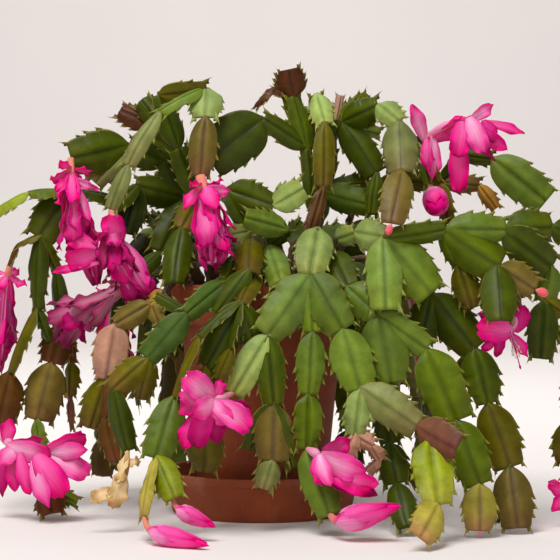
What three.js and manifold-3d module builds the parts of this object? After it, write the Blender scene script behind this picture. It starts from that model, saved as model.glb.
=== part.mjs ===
// A potted christmas cactus: a terracotta pot on its saucer, soil, leafy stems, blooms and buds.
// Millimetres, +Z up. The origin is the middle of the saucer's underside, on the pot's axis.
import * as THREE from "three";
import { mergeVertices } from "three/addons/utils/BufferGeometryUtils.js";
import Module from "manifold-3d";

const wasm = await Module();
wasm.setup();

// Driving dimensions
const GAP = 0.3;
const TURN_FACETS = 32;
const SAUCER_RADIUS = 75;
const SAUCER_HEIGHT = 32;
const SAUCER_BASE_RADIUS = 67;
const SAUCER_WALL = 4.5;
const SAUCER_FLOOR = 5;
const SAUCER_COLLAR = 6;
const SAUCER_COLLAR_STEP = 2.2;
const SAUCER_COLLAR_LEAN = 0.4;
const POT_RIM_RADIUS = 69;
const POT_RIM_HEIGHT = 171;
const POT_RIM_BEVEL = 1.2;
const POT_COLLAR = 29.5;
const POT_COLLAR_LEAN = 2.5;
const POT_BASE_RADIUS = 47;
const POT_SHOULDER_RADIUS = 60.5;
const POT_WALL = 5;
const POT_FLOOR = 7;
const DRAIN_RADIUS = 6;
const SOIL_HEIGHT = 158;
const SOIL_CLEARANCE = 0.5;
const HOLE_DEPTH = 14;
const HOLE_CLEARANCE = 0.5;

// Joining
const MERGE_DISTANCE = 1e-4;
const SLIVER = 0.02;
const SCRAP_VOLUME = 1;

// The eye stands this far in front of the pot's axis and this high. A joint [u, w, depth] is where
// the eye sees it in the upright plane through the axis, and how far behind that plane it lies.
const EYE_DISTANCE = 1500;
const EYE_HEIGHT = 215;

// Stem segments
const BLADE_THICKNESS = 3;
const BLADE_SINK = 1.5;
const BLADE_BEND = 0.04;
const BLADE_CUP = 0.05;
const STALK_RADIUS = 2.6;
const STALK_STEPS = 3;
const STALK_TENON = [
  [0, 0.9],
  [4, 0.5],
];
const SHARED_BEND = 0;
const SHARED_TWIST = 0.3;
const END_ON = 0.35;

// Blooms
const PETAL_THICKNESS = 1.6;
const PETAL_ROOT = 0.2;
const SEAT_GAP = 0.95;

// Half outlines as [along, across]: shoulder, hooked teeth and horn. Ribs lie along the middle.
// Slender segments have one tooth fewer, and those behind the pot are plain.
const TOOTHED = {
  half: [
    [0.24, 0.84],
    [0.5, 1.06],
    [0.53, 0.86],
    [0.8, 1.05],
    [1.04, 0.72],
  ],
  ribs: [0.5],
};
const SLENDER = {
  half: [
    [0.3, 0.88],
    [0.6, 1.06],
    [0.66, 0.8],
    [1.03, 0.76],
  ],
  ribs: [0.5],
};
const SLENDER_WIDTH = 19;
const PLAIN = {
  half: [
    [0.28, 0.86],
    [0.64, 1.06],
    [1.03, 0.74],
  ],
  ribs: [0.5],
};
const PETAL = {
  half: [
    [0.55, 1],
    [0.86, 0.7],
  ],
  ribs: [0.5],
};
const NECK_HALF_WIDTH = 2.6;
const NECK_HALF_THICKNESS = 1.3;

// Leafy stems. A stem has its root [x, y] in the soil and chains of segments. A chain starts at the
// top of the stalk or at a joint of an earlier chain, then each segment gives the joint it ends in,
// its width and its roll from facing the eye: [u, w, depth, width, roll].
const STEMS = {
  left_arm: {
    root: [-38, 10],
    stalk: [[-44, 190, 13]],
    chains: [
      [
        [-62, 206, 24],
        [-84, 221, 27, 20, 30],
        [-108, 233, 24, 22, 60],
        [-145, 240, 12, 20, 66],
        [-175, 238, 0, 22, 70],
        [-204, 221, -8, 20, 70],
      ],
      [
        [-145, 240, 12],
        [-167, 205, 2, 31, 8],
        [-169, 151, -4, 17, 20],
        [-189, 104, -9, 20, 64],
        [-199, 61, -13, 27, 8],
      ],
      [
        [-167, 205, 2],
        [-183, 199, -1, 12, 78],
        [-189, 184, -4, 10, 78],
      ],
      [
        [-167, 205, 2],
        [-154, 181, 6, 12, 20],
        [-149, 139, 4, 15, 30],
        [-158, 111, -3, 27, 10],
        [-169, 68, -10, 32, 5],
        [-165, 46, -14, 14, 30],
        [-161, 18, -30, 18, 20],
        [-158, -2, -54, 24, 0],
      ],
      [
        [-169, 151, -4],
        [-159, 127, -1, 11, 30],
      ],
      [
        [-149, 139, 4],
        [-143, 112, 9, 14, 20],
        [-144, 86, 10, 13, 20],
        [-143, 61, 9, 8, 40],
      ],
      [
        [-161, 18, -30],
        [-139, 6, -40, 13, 10],
      ],
    ],
  },
  left_trunk: {
    root: [-42, -16],
    stalk: [
      [-53, 182, -32],
      [-66, 176, -44],
    ],
    radius: 4.6,
    chains: [
      [
        [-72, 164, -48],
        [-84, 155, -50, 16, 20],
        [-110, 140, -50, 19, 10],
        [-117, 99, -52, 27, 0],
        [-129, 62, -50, 24, 0],
      ],
      [
        [-117, 99, -52],
        [-117, 70, -58, 12, 40],
        [-109, 37, -62, 19, 10],
      ],
      [
        [-84, 155, -50],
        [-75, 138, -54, 12, 10],
      ],
    ],
  },
  front_left: {
    root: [-20, -40],
    chains: [
      [
        [-14, 190, -48],
        [-27, 172, -74, 20, 10],
        [-57, 148, -92, 22, 0],
        [-86, 114, -98, 26, 0],
        [-113, 91, -101, 22, 10],
      ],
      [
        [-113, 91, -101],
        [-101, 45, -104, 17, 10],
      ],
      [
        [-86, 114, -98],
        [-92, 84, -94, 19, 0],
      ],
      [
        [-57, 148, -92],
        [-79, 162, -86, 12, 40],
      ],
    ],
  },
  low_left: {
    root: [-6, -44],
    chains: [
      [
        [-3, 178, -61],
        [-16, 156, -96, 16, 40],
        [-47, 130, -106, 14, 66],
        [-66, 85, -108, 16, 66],
        [-80, 39, -128, 30, 0],
        [-89, -5, -152, 15, 20],
      ],
      [
        [-80, 39, -128],
        [-68, 10, -142, 22, 0],
      ],
      [
        [-16, 156, -96],
        [-42, 108, -100, 26, 5],
        [-42, 66, -98, 23, 0],
        [-44, 29, -96, 27, 0],
      ],
      [
        [-16, 156, -96],
        [-23, 121, -110, 14, 66],
        [-33, 98, -110, 14, 30],
      ],
    ],
  },
  star: {
    root: [12, -48],
    chains: [
      [
        [42, 212, -50],
        [36, 177, -80, 29, 0],
        [4, 131, -98, 33, 0],
        [9, 79, -106, 22, 0],
        [8, 37, -112, 28, 0],
        [1, 16, -114, 18, 0],
      ],
      [
        [4, 131, -98],
        [-22, 88, -106, 24, 0],
      ],
      [
        [9, 79, -106],
        [23, 32, -106, 15, 20],
      ],
      [
        [36, 177, -80],
        [61, 136, -98, 31, 0],
        [74, 91, -110, 32, 0],
        [70, 56, -116, 20, 0],
        [83, 49, -116, 15, 12],
        [89, 38, -112, 13, 40],
        [79, 30, -108, 12, 60],
      ],
      [
        [70, 56, -116],
        [62, 39, -120, 14, 30],
      ],
      [
        [36, 177, -80],
        [38, 134, -90, 22, 0],
        [35, 87, -102, 22, 0],
        [34, 46, -110, 21, 0],
        [51, -4, -132, 26, 0],
      ],
      [
        [74, 91, -110],
        [117, 63, -126, 28, 0],
        [143, 47, -136, 24, 20],
      ],
      [
        [117, 63, -126],
        [134, 4, -162, 30, 0],
        [119, -21, -194, 24, 0],
      ],
    ],
  },
  right_front: {
    root: [32, -38],
    chains: [
      [
        [52, 194, -50],
        [64, 168, -80, 24, 0],
        [88, 147, -92, 27, 0],
        [97, 95, -106, 35, 0],
      ],
      [
        [88, 147, -92],
        [124, 121, -100, 23, 10],
        [146, 67, -112, 34, 0],
        [164, 19, -126, 30, 0],
        [164, -16, -138, 25, 0],
      ],
    ],
  },
  right_under: {
    root: [46, -22],
    chains: [
      [
        [66, 186, -36],
        [80, 158, -62, 20, 10],
        [84, 118, -76, 22, 0],
        [92, 78, -82, 24, 0],
        [96, 50, -90, 22, 10],
        [101, 20, -104, 24, 0],
        [110, -13, -132, 21, 0],
      ],
      [
        [96, 50, -90],
        [116, 20, -98, 12, 50],
      ],
    ],
  },
  right: {
    root: [50, -8],
    stalk: [[64, 186, -16]],
    chains: [
      [
        [86, 190, -38],
        [106, 178, -54, 20, 10],
        [128, 162, -68, 26, 10],
        [160, 121, -78, 32, 0],
        [170, 80, -88, 28, 0],
        [187, 32, -102, 30, 0],
        [193, -14, -122, 29, 0],
      ],
      [
        [128, 162, -68],
        [119, 126, -72, 24, 10],
      ],
      [
        [160, 121, -78],
        [152, 97, -72, 16, 20],
      ],
      [
        [187, 32, -102],
        [181, -8, -110, 14, 30],
      ],
    ],
  },
  star_right: {
    root: [34, -14],
    chains: [
      [
        [56, 204, -46],
        [70, 209, -62, 16, 10],
        [92, 205, -80, 25, 0],
        [138, 211, -86, 18, 18],
        [183, 211, -86, 25, 0],
        [218, 213, -82, 28, 0],
        [240, 205, -80, 20, 0],
      ],
      [
        [92, 205, -80],
        [127, 163, -94, 35, 0],
      ],
      [
        [92, 205, -80],
        [93, 151, -100, 28, 0],
      ],
      [
        [138, 211, -86],
        [178, 183, -90, 35, 10],
        [205, 166, -88, 24, 0],
      ],
      [
        [178, 183, -90],
        [184, 150, -82, 30, 0],
      ],
      [
        [138, 211, -86],
        [148, 184, -76, 16, 20],
        [158, 152, -80, 20, 10],
      ],
      [
        [183, 211, -86],
        [217, 184, -72, 28, 10],
        [212, 157, -66, 20, 20],
        [209, 114, -70, 24, 0],
      ],
      [
        [212, 157, -66],
        [230, 146, -64, 14, 20],
        [240, 106, -66, 22, 10],
        [236, 68, -68, 26, 0],
        [230, 34, -70, 28, 0],
      ],
    ],
  },
  upper_right: {
    root: [36, 4],
    chains: [
      [
        [46, 240, 8],
        [52, 280, 6, 16, 20],
        [61, 292, 2, 14, 20],
        [87, 304, -14, 24, 0],
        [103, 292, -36, 20, -8],
        [105, 255, -62, 28, 0],
        [97, 216, -90, 24, 0],
      ],
      [
        [61, 292, 2],
        [86, 253, -8, 24, 0],
        [82, 222, -16, 13, 20],
      ],
      [
        [61, 292, 2],
        [88, 283, 12, 13, 30],
      ],
      [
        [61, 292, 2],
        [80, 310, 12, 20, 20],
      ],
      [
        [52, 280, 6],
        [59, 311, 14, 10, 30],
      ],
      [
        [46, 240, 8],
        [80, 247, 10, 18, 10],
      ],
      [
        [46, 240, 8],
        [82, 229, 0, 24, 10],
      ],
    ],
  },
  right_top: {
    root: [50, 20],
    chains: [
      [
        [68, 226, 24],
        [98, 248, 22, 20, 30],
        [136, 247, 14, 18, 20],
        [163, 244, 8, 15, 10],
        [176, 227, 4, 12, 10],
      ],
      [
        [136, 247, 14],
        [151, 267, 10, 14, 30],
        [173, 264, 4, 15, 20],
        [213, 232, -6, 31, 0],
      ],
      [
        [98, 248, 22],
        [108, 274, 8, 16, 20],
        [121, 277, -14, 14, 20],
        [134, 246, -24, 12, 66],
        [141, 216, -32, 16, 50],
      ],
      [
        [121, 277, -14],
        [126, 244, -20, 13, 10],
      ],
    ],
  },
  top_left: {
    root: [-22, -8],
    chains: [
      [
        [-48, 236, -6],
        [-62, 272, -8, 22, 20],
        [-77, 312, -10, 20, 20],
        [-41, 316, -24, 18, 20],
        [-42, 295, -38, 25, 0],
        [-46, 251, -50, 22, 0],
      ],
      [
        [-41, 316, -24],
        [-76, 299, -38, 16, 55],
        [-100, 259, -50, 16, 30],
        [-113, 226, -56, 15, 30],
      ],
      [
        [-62, 272, -8],
        [-90, 308, 2, 23, 0],
      ],
      [
        [-62, 272, -8],
        [-84, 290, 8, 20, 10],
        [-106, 300, 12, 20, 10],
      ],
      [
        [-48, 236, -6],
        [-60, 212, -34, 21, 0],
        [-66, 171, -60, 22, 0],
      ],
    ],
  },
  upper_left: {
    root: [-24, 14],
    stalk: [[-34, 200, 20]],
    chains: [
      [
        [-58, 236, 24],
        [-72, 262, 22, 22, 20],
        [-100, 274, 16, 26, 10],
        [-143, 264, -2, 35, 0],
      ],
      [
        [-100, 274, 16],
        [-125, 246, 10, 18, 10],
      ],
      [
        [-58, 236, 24],
        [-95, 244, 10, 25, 0],
        [-103, 208, 2, 26, 0],
      ],
      [
        [-95, 244, 10],
        [-112, 226, -6, 16, 20],
      ],
      [
        [-58, 236, 24],
        [-76, 194, 4, 25, 0],
        [-97, 174, -12, 14, 20],
      ],
      [
        [-72, 262, 22],
        [-84, 284, 24, 22, 0],
      ],
    ],
  },
  top_centre: {
    root: [18, -14],
    chains: [
      [
        [37, 222, -18],
        [34, 272, -14, 13, 30],
        [1, 294, -20, 18, 20],
        [-40, 263, -28, 40, 0],
      ],
      [
        [34, 272, -14],
        [24, 311, -13, 16, 10],
        [20, 331, -18, 27, 0],
      ],
      [
        [34, 272, -14],
        [20, 312, -4, 15, 20],
        [8, 316, -4, 12, 60],
        [-4, 303, -6, 12, 60],
      ],
    ],
  },
  top_pale: {
    root: [20, 12],
    chains: [
      [
        [44, 216, 22],
        [46, 262, 22, 16, 20],
        [41, 312, 2, 18, 10],
        [47, 291, -24, 19, 0],
        [46, 243, -36, 17, 0],
        [34, 204, -48, 12, 0],
      ],
    ],
  },
  crown: {
    root: [-4, -22],
    chains: [
      [
        [4, 200, -34],
        [-10, 210, -38, 16, 20],
        [-26, 241, -36, 18, 20],
        [9, 229, -42, 25, 0],
        [31, 242, -44, 22, 0],
      ],
      [
        [4, 200, -34],
        [19, 211, -42, 14, 30],
        [-13, 220, -54, 20, 10],
      ],
      [
        [-10, 210, -38],
        [-10, 180, -78, 23, 0],
      ],
      [
        [4, 200, -34],
        [14, 172, -80, 22, 0],
      ],
      [
        [-10, 210, -38],
        [-27, 206, -56, 15, 20],
      ],
    ],
  },
};

// Blooms and buds. The axis runs from the joint that carries it through the points given.
const BLOOMS = {
  long_left: {
    form: "wilted",
    axis: [
      [-143, 264, -2],
      [-142, 240, -18],
      [-133, 205, -15],
      [-125, 174, -16],
    ],
    girth: 10,
    seat: 2.6,
  },
  drooping_left: {
    form: "wilted",
    axis: [
      [-112, 226, -6],
      [-111, 206, -35],
      [-103, 186, -40],
      [-90, 163, -36],
    ],
    girth: 13,
    seat: 2.3,
  },
  withered_left: {
    form: "wilted",
    axis: [
      [-97, 174, -12],
      [-110, 163, -16],
      [-130, 152, -16],
      [-151, 130, -18],
    ],
    girth: 10,
  },
  edge_left: {
    form: "wilted",
    axis: [
      [-189, 184, -4],
      [-192, 168, 6],
      [-195, 138, 14],
      [-198, 108, 20],
    ],
    girth: 8,
    seat: 1.4,
  },
  low_left: {
    form: "open",
    axis: [
      [-199, 61, -13],
      [-194, 54, -28],
      [-182, 46, -46],
      [-168, 40, -60],
    ],
    girth: 6,
    size: 1.15,
  },
  hanging_top: {
    form: "wilted",
    axis: [
      [-46, 251, -50],
      [-43, 236, -56],
      [-38, 208, -66],
      [-37, 186, -73],
    ],
    girth: 10,
  },
  front_right: {
    form: "open",
    axis: [
      [34, 46, -110],
      [42, 42, -126],
      [54, 35, -140],
      [67, 28, -150],
    ],
    girth: 6,
    size: 0.75,
    seat: 3.2,
  },
  front_left: {
    form: "open",
    axis: [
      [-22, 88, -106],
      [-31, 84, -118],
      [-40, 78, -130],
      [-48, 72, -140],
    ],
    girth: 6,
    size: 0.8,
  },
  top_right: {
    form: "open",
    axis: [
      [121, 277, -14],
      [132, 286, -22],
      [148, 292, -30],
      [163, 290, -38],
    ],
    girth: 6,
    size: 1.1,
    seat: 2,
  },
  right: {
    form: "open",
    axis: [
      [184, 150, -82],
      [189, 144, -88],
      [186, 137, -94],
      [176, 136, -102],
    ],
    girth: 6,
    size: 0.75,
  },
  edge_right: {
    form: "open",
    axis: [
      [230, 34, -70],
      [231, 24, -74],
      [229, 18, -80],
      [226, 14, -88],
    ],
    girth: 6,
    size: 0.65,
  },
  dried_left: {
    form: "dried",
    axis: [
      [-101, 45, -104],
      [-102, 34, -106],
      [-106, 20, -108],
      [-112, 6, -108],
    ],
    girth: 7,
  },
};
// Stems behind the pot by azimuth and habit. A habit has joints [radius, height] from the pot's axis
// and forks: the joint where one starts, its share of a turn aside and its own joints.
const BACK_PLACES = [
  [5, "side"],
  [36, "long"],
  [49, "short"],
  [62, "long"],
  [76, "short"],
  [90, "long"],
  [104, "short"],
  [118, "long"],
  [131, "short"],
  [144, "long"],
  [165, "side"],
];
const BACK_SEED = 58;
const BACK_SWAY = 2.5;
const BACK_JITTER = 4;
const BACK_ROLL = 25;
const BACK_HEM = 8;
const BACK_FORK_TURN = 8;
const BACK_GIRTH = 9;
const BACK_SEAT = 1.6;
const BACK_BLOOMS = ["back_2", "back_6", "back_10"];
const BACK_DROP = [
  [0, 0],
  [-1, 16],
  [-2, 48],
  [-4, 80],
];
const BACK_HABITS = {
  short: {
    root: 50,
    width: 26,
    joints: [
      [62, 184],
      [90, 186],
      [106, 152],
      [109, 110],
      [108, 68],
    ],
    forks: [[2, 1, [[102, 114]]]],
  },
  side: {
    root: 50,
    width: 26,
    joints: [
      [62, 184],
      [90, 187],
      [110, 156],
      [117, 114],
      [119, 72],
      [117, 34],
    ],
    forks: [
      [1, 1.7, [[104, 158], [110, 116], [112, 78]]],
      [1, -1.7, [[106, 162], [113, 122], [116, 84], [117, 46]]],
    ],
  },
  long: {
    root: 36,
    width: 30,
    joints: [
      [50, 196],
      [76, 214],
      [112, 210],
      [140, 176],
      [152, 132],
      [158, 86],
      [160, 44],
      [158, 12],
    ],
    forks: [[2, 1, [[132, 176]]]],
  },
};

const BUDS = {
  low_left: {
    axis: [
      [-89, -5, -152],
      [-85, -14, -161],
      [-40, -27, -186],
    ],
    radius: 6.6,
  },
  low_left_back: {
    axis: [
      [-68, 10, -142],
      [-64, 2, -147],
      [-35, -13, -150],
    ],
    radius: 5.4,
  },
  low_right: {
    axis: [
      [51, -4, -132],
      [58, -9, -146],
      [105, 2, -154],
    ],
    radius: 8.6,
  },
  upper_right: {
    axis: [
      [126, 244, -20],
      [126, 240, -34],
      [130, 224, -56],
    ],
    radius: 8.6,
  },
  tiny_upper: {
    axis: [
      [97, 216, -90],
      [96, 213, -91],
      [94, 207, -92],
    ],
    radius: 2.4,
  },
  tiny_right: {
    axis: [
      [205, 166, -88],
      [208, 165, -89],
      [215, 162, -90],
    ],
    radius: 3,
  },
  tiny_low: {
    axis: [
      [164, -16, -138],
      [164, -17, -138.5],
      [164, -19.5, -139],
    ],
    radius: 1.6,
  },
};

function seen([u, w, depth]) {
  const scale = (EYE_DISTANCE + depth) / EYE_DISTANCE;
  return new THREE.Vector3(u * scale, depth, EYE_HEIGHT + (w - EYE_HEIGHT) * scale);
}

// A closed solid from loose triangles, each three points.
function solidFromTriangles(triangles) {
  const geometry = new THREE.BufferGeometry().setFromPoints(triangles.flat());
  return solidFromGeometry(geometry);
}

function solidFromGeometry(geometry) {
  const plain = geometry.index ? geometry.toNonIndexed() : geometry;
  const bare = new THREE.BufferGeometry();
  bare.setAttribute("position", plain.getAttribute("position"));
  const merged = mergeVertices(bare, MERGE_DISTANCE);
  const mesh = new wasm.Mesh({
    numProp: 3,
    vertProperties: new Float32Array(merged.attributes.position.array),
    triVerts: new Uint32Array(merged.index.array),
  });
  return new wasm.Manifold(mesh);
}

function meshFromSolid(name, solid, colour, roughness) {
  const made = solid.getMesh();
  const points = new Float32Array(made.numVert * 3);
  for (let i = 0; i < made.numVert; i += 1) {
    points.set(made.vertProperties.subarray(i * made.numProp, i * made.numProp + 3), i * 3);
  }
  const geometry = new THREE.BufferGeometry();
  geometry.setAttribute("position", new THREE.BufferAttribute(points, 3));
  geometry.setIndex(new THREE.BufferAttribute(new Uint32Array(made.triVerts), 1));
  geometry.computeVertexNormals();
  const material = new THREE.MeshStandardMaterial({ color: colour, roughness, metalness: 0 });
  const mesh = new THREE.Mesh(geometry, material);
  mesh.name = name;
  return mesh;
}

// One body from overlapping parts, without scraps and slivers. A part that joins nothing is an error.
function joined(parts) {
  const bodies = wasm.Manifold.union(parts).simplify(SLIVER).decompose();
  bodies.sort((a, b) => b.volume() - a.volume());
  if (bodies.length > 1 && bodies[1].volume() > SCRAP_VOLUME) {
    const { min } = bodies[1].boundingBox();
    throw new Error("a part hangs loose near " + min.map(Math.round));
  }
  return bodies[0];
}

// A four-cornered ring across a neck or stalk.
function ringAt(point, direction, side, halfWidth, halfThickness) {
  const front = new THREE.Vector3().crossVectors(side, direction).normalize();
  const right = new THREE.Vector3().crossVectors(direction, front).normalize();
  return {
    right: point.clone().addScaledVector(right, halfWidth),
    left: point.clone().addScaledVector(right, -halfWidth),
    front: point.clone().addScaledVector(front, halfThickness),
    back: point.clone().addScaledVector(front, -halfThickness),
  };
}

function neckRing(point, direction, side) {
  return ringAt(point, direction, side, NECK_HALF_WIDTH, NECK_HALF_THICKNESS);
}

function capTriangles({ left, front, right, back }, facesOn) {
  const pair = [
    [front, back, right],
    [front, left, back],
  ];
  return facesOn ? pair.map(([a, b, c]) => [a, c, b]) : pair;
}

// A thin lens-shaped blade from ring to ring, or to a point where a ring is missing. Its rim is the
// form's outline, bent along the spine, and its two faces rise to the midrib and have the same
// triangles.
function blade({ spine, side, width, thickness, form, start, end }) {
  const along = (t) => {
    const tangent = spine.getTangent(Math.min(t, 1));
    const normal = new THREE.Vector3().crossVectors(side, tangent).normalize();
    return { point: spine.getPoint(t), normal };
  };
  const rimPoint = ([t, s], hand) => {
    const { point, normal } = along(t);
    point.addScaledVector(side, (hand * s * width) / 2);
    return point.addScaledVector(normal, -BLADE_CUP * width * s * s);
  };
  const ribPoint = (t, face) => {
    const { point, normal } = along(t);
    return point.addScaledVector(normal, (face * thickness) / 2);
  };
  const [root, tip] = [spine.getPoint(0), spine.getPoint(1)];
  const rimReach = [0, ...form.half.map(([t]) => t), 3];
  const ribReach = [0, ...form.ribs, 2];
  const triangles = [];
  for (const face of [1, -1]) {
    const faceName = face > 0 ? "front" : "back";
    const ribs = form.ribs.map((t) => ribPoint(t, face));
    const middle = [start ? start[faceName] : root, ...ribs, end ? end[faceName] : tip];
    for (const hand of [1, -1]) {
      const handName = hand > 0 ? "right" : "left";
      const corners = form.half.map((corner) => rimPoint(corner, hand));
      const rim = [start ? start[handName] : root, ...corners, end ? end[handName] : tip];
      const put = (a, b, c) => {
        if (a !== b && b !== c && c !== a) {
          triangles.push(face * hand > 0 ? [a, b, c] : [a, c, b]);
        }
      };
      let k = 0;
      for (let i = 1; i < rim.length; i += 1) {
        while (k + 1 < middle.length && ribReach[k + 1] < rimReach[i]) {
          put(middle[k], rim[i - 1], middle[k + 1]);
          k += 1;
        }
        put(middle[k], rim[i - 1], rim[i]);
      }
    }
  }
  if (start) {
    triangles.push(...capTriangles(start, false));
  }
  if (end) {
    triangles.push(...capTriangles(end, true));
  }
  return solidFromTriangles(triangles);
}

// The unit vector across a segment: it faces the given way as far as it can, then rolls.
function sideOf(direction, facing, roll) {
  let front = facing.clone().addScaledVector(direction, -facing.dot(direction));
  if (front.length() < END_ON) {
    front = new THREE.Vector3(0, 0, 1).addScaledVector(direction, -direction.z);
  }
  const side = new THREE.Vector3().crossVectors(direction, front.normalize()).normalize();
  return side.applyAxisAngle(direction, THREE.MathUtils.degToRad(roll));
}

// Two segments in a row share the ring at their joint, unless the joint bends or twists too far.
function sharedRing(before, after) {
  const bend = before.direction.dot(after.direction);
  const twist = before.side.dot(after.side);
  if (bend < SHARED_BEND || twist < SHARED_TWIST) {
    return undefined;
  }
  const direction = before.direction.clone().add(after.direction).normalize();
  const side = before.side.clone().add(after.side).normalize();
  return neckRing(after.from, direction, side);
}

// A closed tube through rings of four corners.
function tubeThrough(rings) {
  const names = ["front", "right", "back", "left"];
  const triangles = [...capTriangles(rings[0], false), ...capTriangles(rings.at(-1), true)];
  for (let i = 1; i < rings.length; i += 1) {
    const [low, high] = [rings[i - 1], rings[i]];
    names.forEach((name, k) => {
      const next = names[(k + 1) % names.length];
      triangles.push([low[name], low[next], high[next]], [low[name], high[next], high[name]]);
    });
  }
  return solidFromTriangles(triangles);
}

// The stalk stands straight in its hole in the soil, then leans over to the first segment.
function stalk(stem, first) {
  const [x, y] = stem.root;
  const foot = new THREE.Vector3(x, y, SOIL_HEIGHT - HOLE_DEPTH + GAP);
  const collar = new THREE.Vector3(x, y, SOIL_HEIGHT + 2);
  const path = new THREE.CatmullRomCurve3([collar, ...(stem.stalk ?? []), first.from]);
  const radius = stem.radius ?? STALK_RADIUS;
  const up = new THREE.Vector3(0, 0, 1);
  const across = new THREE.Vector3(1, 0, 0);
  const rings = [foot, collar].map((point) => ringAt(point, up, across, radius, radius));
  const steps = STALK_STEPS + (stem.stalk ?? []).length;
  for (let i = 1; i < steps; i += 1) {
    const t = i / steps;
    const side = across.clone().lerp(first.side, t).normalize();
    const slim = THREE.MathUtils.lerp(radius, NECK_HALF_WIDTH, t * t);
    rings.push(ringAt(path.getPoint(t), path.getTangent(t), side, slim, slim));
  }
  for (const [reach, share] of STALK_TENON) {
    const point = first.from.clone().addScaledVector(first.direction, reach);
    const [wide, thick] = [NECK_HALF_WIDTH * share, NECK_HALF_THICKNESS * share];
    rings.push(ringAt(point, first.direction, first.side, wide, thick));
  }
  return tubeThrough(rings);
}

// Segments of one chain: each has its two ends, direction, side, width and rings.
function chainSegments(chain, before, facing) {
  const segments = chain.slice(1).map(([to, width, roll], i) => {
    const from = i === 0 ? chain[0][0] : chain[i][0];
    return { from, to, width, roll };
  });
  segments.forEach((segment, i) => {
    if (i === 0 && before) {
      segment.from = segment.from.clone().addScaledVector(before, -BLADE_SINK);
    }
    segment.direction = segment.to.clone().sub(segment.from).normalize();
    segment.side = sideOf(segment.direction, facing, segment.roll);
  });
  segments.forEach((segment, i) => {
    if (i === 0) {
      segment.start = neckRing(segment.from, segment.direction, segment.side);
      return;
    }
    const previous = segments[i - 1];
    const ring = sharedRing(previous, segment);
    if (ring) {
      previous.end = ring;
      segment.start = ring;
    } else {
      segment.from = segment.from.clone().addScaledVector(previous.direction, -BLADE_SINK);
      segment.start = neckRing(segment.from, segment.direction, segment.side);
    }
  });
  return segments;
}

function segmentBlade({ from, to, direction, side, width, start, end }, form) {
  const normal = new THREE.Vector3().crossVectors(side, direction);
  const middle = from.clone().lerp(to, 0.5);
  middle.addScaledVector(normal, 2 * BLADE_BEND * from.distanceTo(to));
  const spine = new THREE.QuadraticBezierCurve3(from, middle, to);
  return blade({ spine, side, width, thickness: BLADE_THICKNESS, form, start, end });
}

const jointKey = (joint) => joint.toArray().map((value) => value.toFixed(2)).join();

// Each chain is joined first, while the rings its segments share still match, and then the stem.
function leafyStem(stem) {
  const branches = [];
  const ends = new Map();
  for (const chain of stem.chains) {
    const before = ends.get(jointKey(chain[0][0]));
    if (branches.length > 0 && !before) {
      throw new Error("no segment ends at " + jointKey(chain[0][0]));
    }
    const segments = chainSegments(chain, before, stem.facing);
    if (branches.length === 0) {
      branches.push(stalk(stem, segments[0]));
      ends.set(jointKey(chain[0][0]), segments[0].direction);
    }
    const blades = segments.map((segment) => {
      const form = stem.form ?? (segment.width < SLENDER_WIDTH ? SLENDER : TOOTHED);
      return segmentBlade(segment, form);
    });
    branches.push(joined(blades));
    segments.forEach((segment) => ends.set(jointKey(segment.to), segment.direction));
  }
  return joined(branches);
}

// A stem of the list above, with its joints where the eye sees them.
function placedStem({ root, radius, stalk: way = [], chains }) {
  return {
    root,
    radius,
    stalk: way.map(seen),
    facing: new THREE.Vector3(0, -1, 0),
    chains: chains.map((chain) => chain.map((joint) => [seen(joint), joint[3], joint[4]])),
  };
}

// A petal leaves the axis at `lift` degrees and turns `curl` degrees further by its tip.
function petal(root, axis, out, length, width, lift, curl) {
  const heading = (angle) => {
    const a = THREE.MathUtils.degToRad(angle);
    return axis.clone().multiplyScalar(Math.cos(a)).addScaledVector(out, Math.sin(a));
  };
  const knee = root.clone().addScaledVector(heading(lift), length / 2);
  const tip = knee.clone().addScaledVector(heading(lift + curl), length / 2);
  const spine = new THREE.QuadraticBezierCurve3(root, knee, tip);
  const side = new THREE.Vector3().crossVectors(out, axis).normalize();
  return blade({ spine, side, width, thickness: PETAL_THICKNESS, form: PETAL });
}

// Rings of petals: where on the axis, how many, length, width, lift and curl.
const RINGS = {
  open: [
    { at: 0.4, count: 4, length: 26, width: 14, lift: 56, curl: 62, turn: 0 },
    { at: 0.88, count: 5, length: 38, width: 21, lift: 42, curl: 46, turn: 30 },
  ],
  wilted: [
    { at: 0.2, count: 3, length: 26, width: 10, lift: 26, curl: 26, turn: 20 },
    { at: 0.45, count: 3, length: 44, width: 18, lift: 12, curl: 4, turn: 80 },
  ],
  dried: [
    { at: 0.3, count: 3, length: 30, width: 18, lift: 22, curl: 10, turn: 30 },
    { at: 0.6, count: 3, length: 24, width: 16, lift: 16, curl: 30, turn: 90 },
  ],
};

// Radii at even steps, as shares of a bloom's girth or a bud's radius.
const BLOOM_TUBE = [0.22, 0.42, 0.5, 0.56, 0.3];
const SMALL_BUD = 4;
const BUD_SHAPES = {
  small: { shares: [0.2, 1, 0.16], sides: 5 },
  large: { shares: [0.2, 0.9, 1, 0.75, 0.16], sides: 7 },
};

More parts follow.
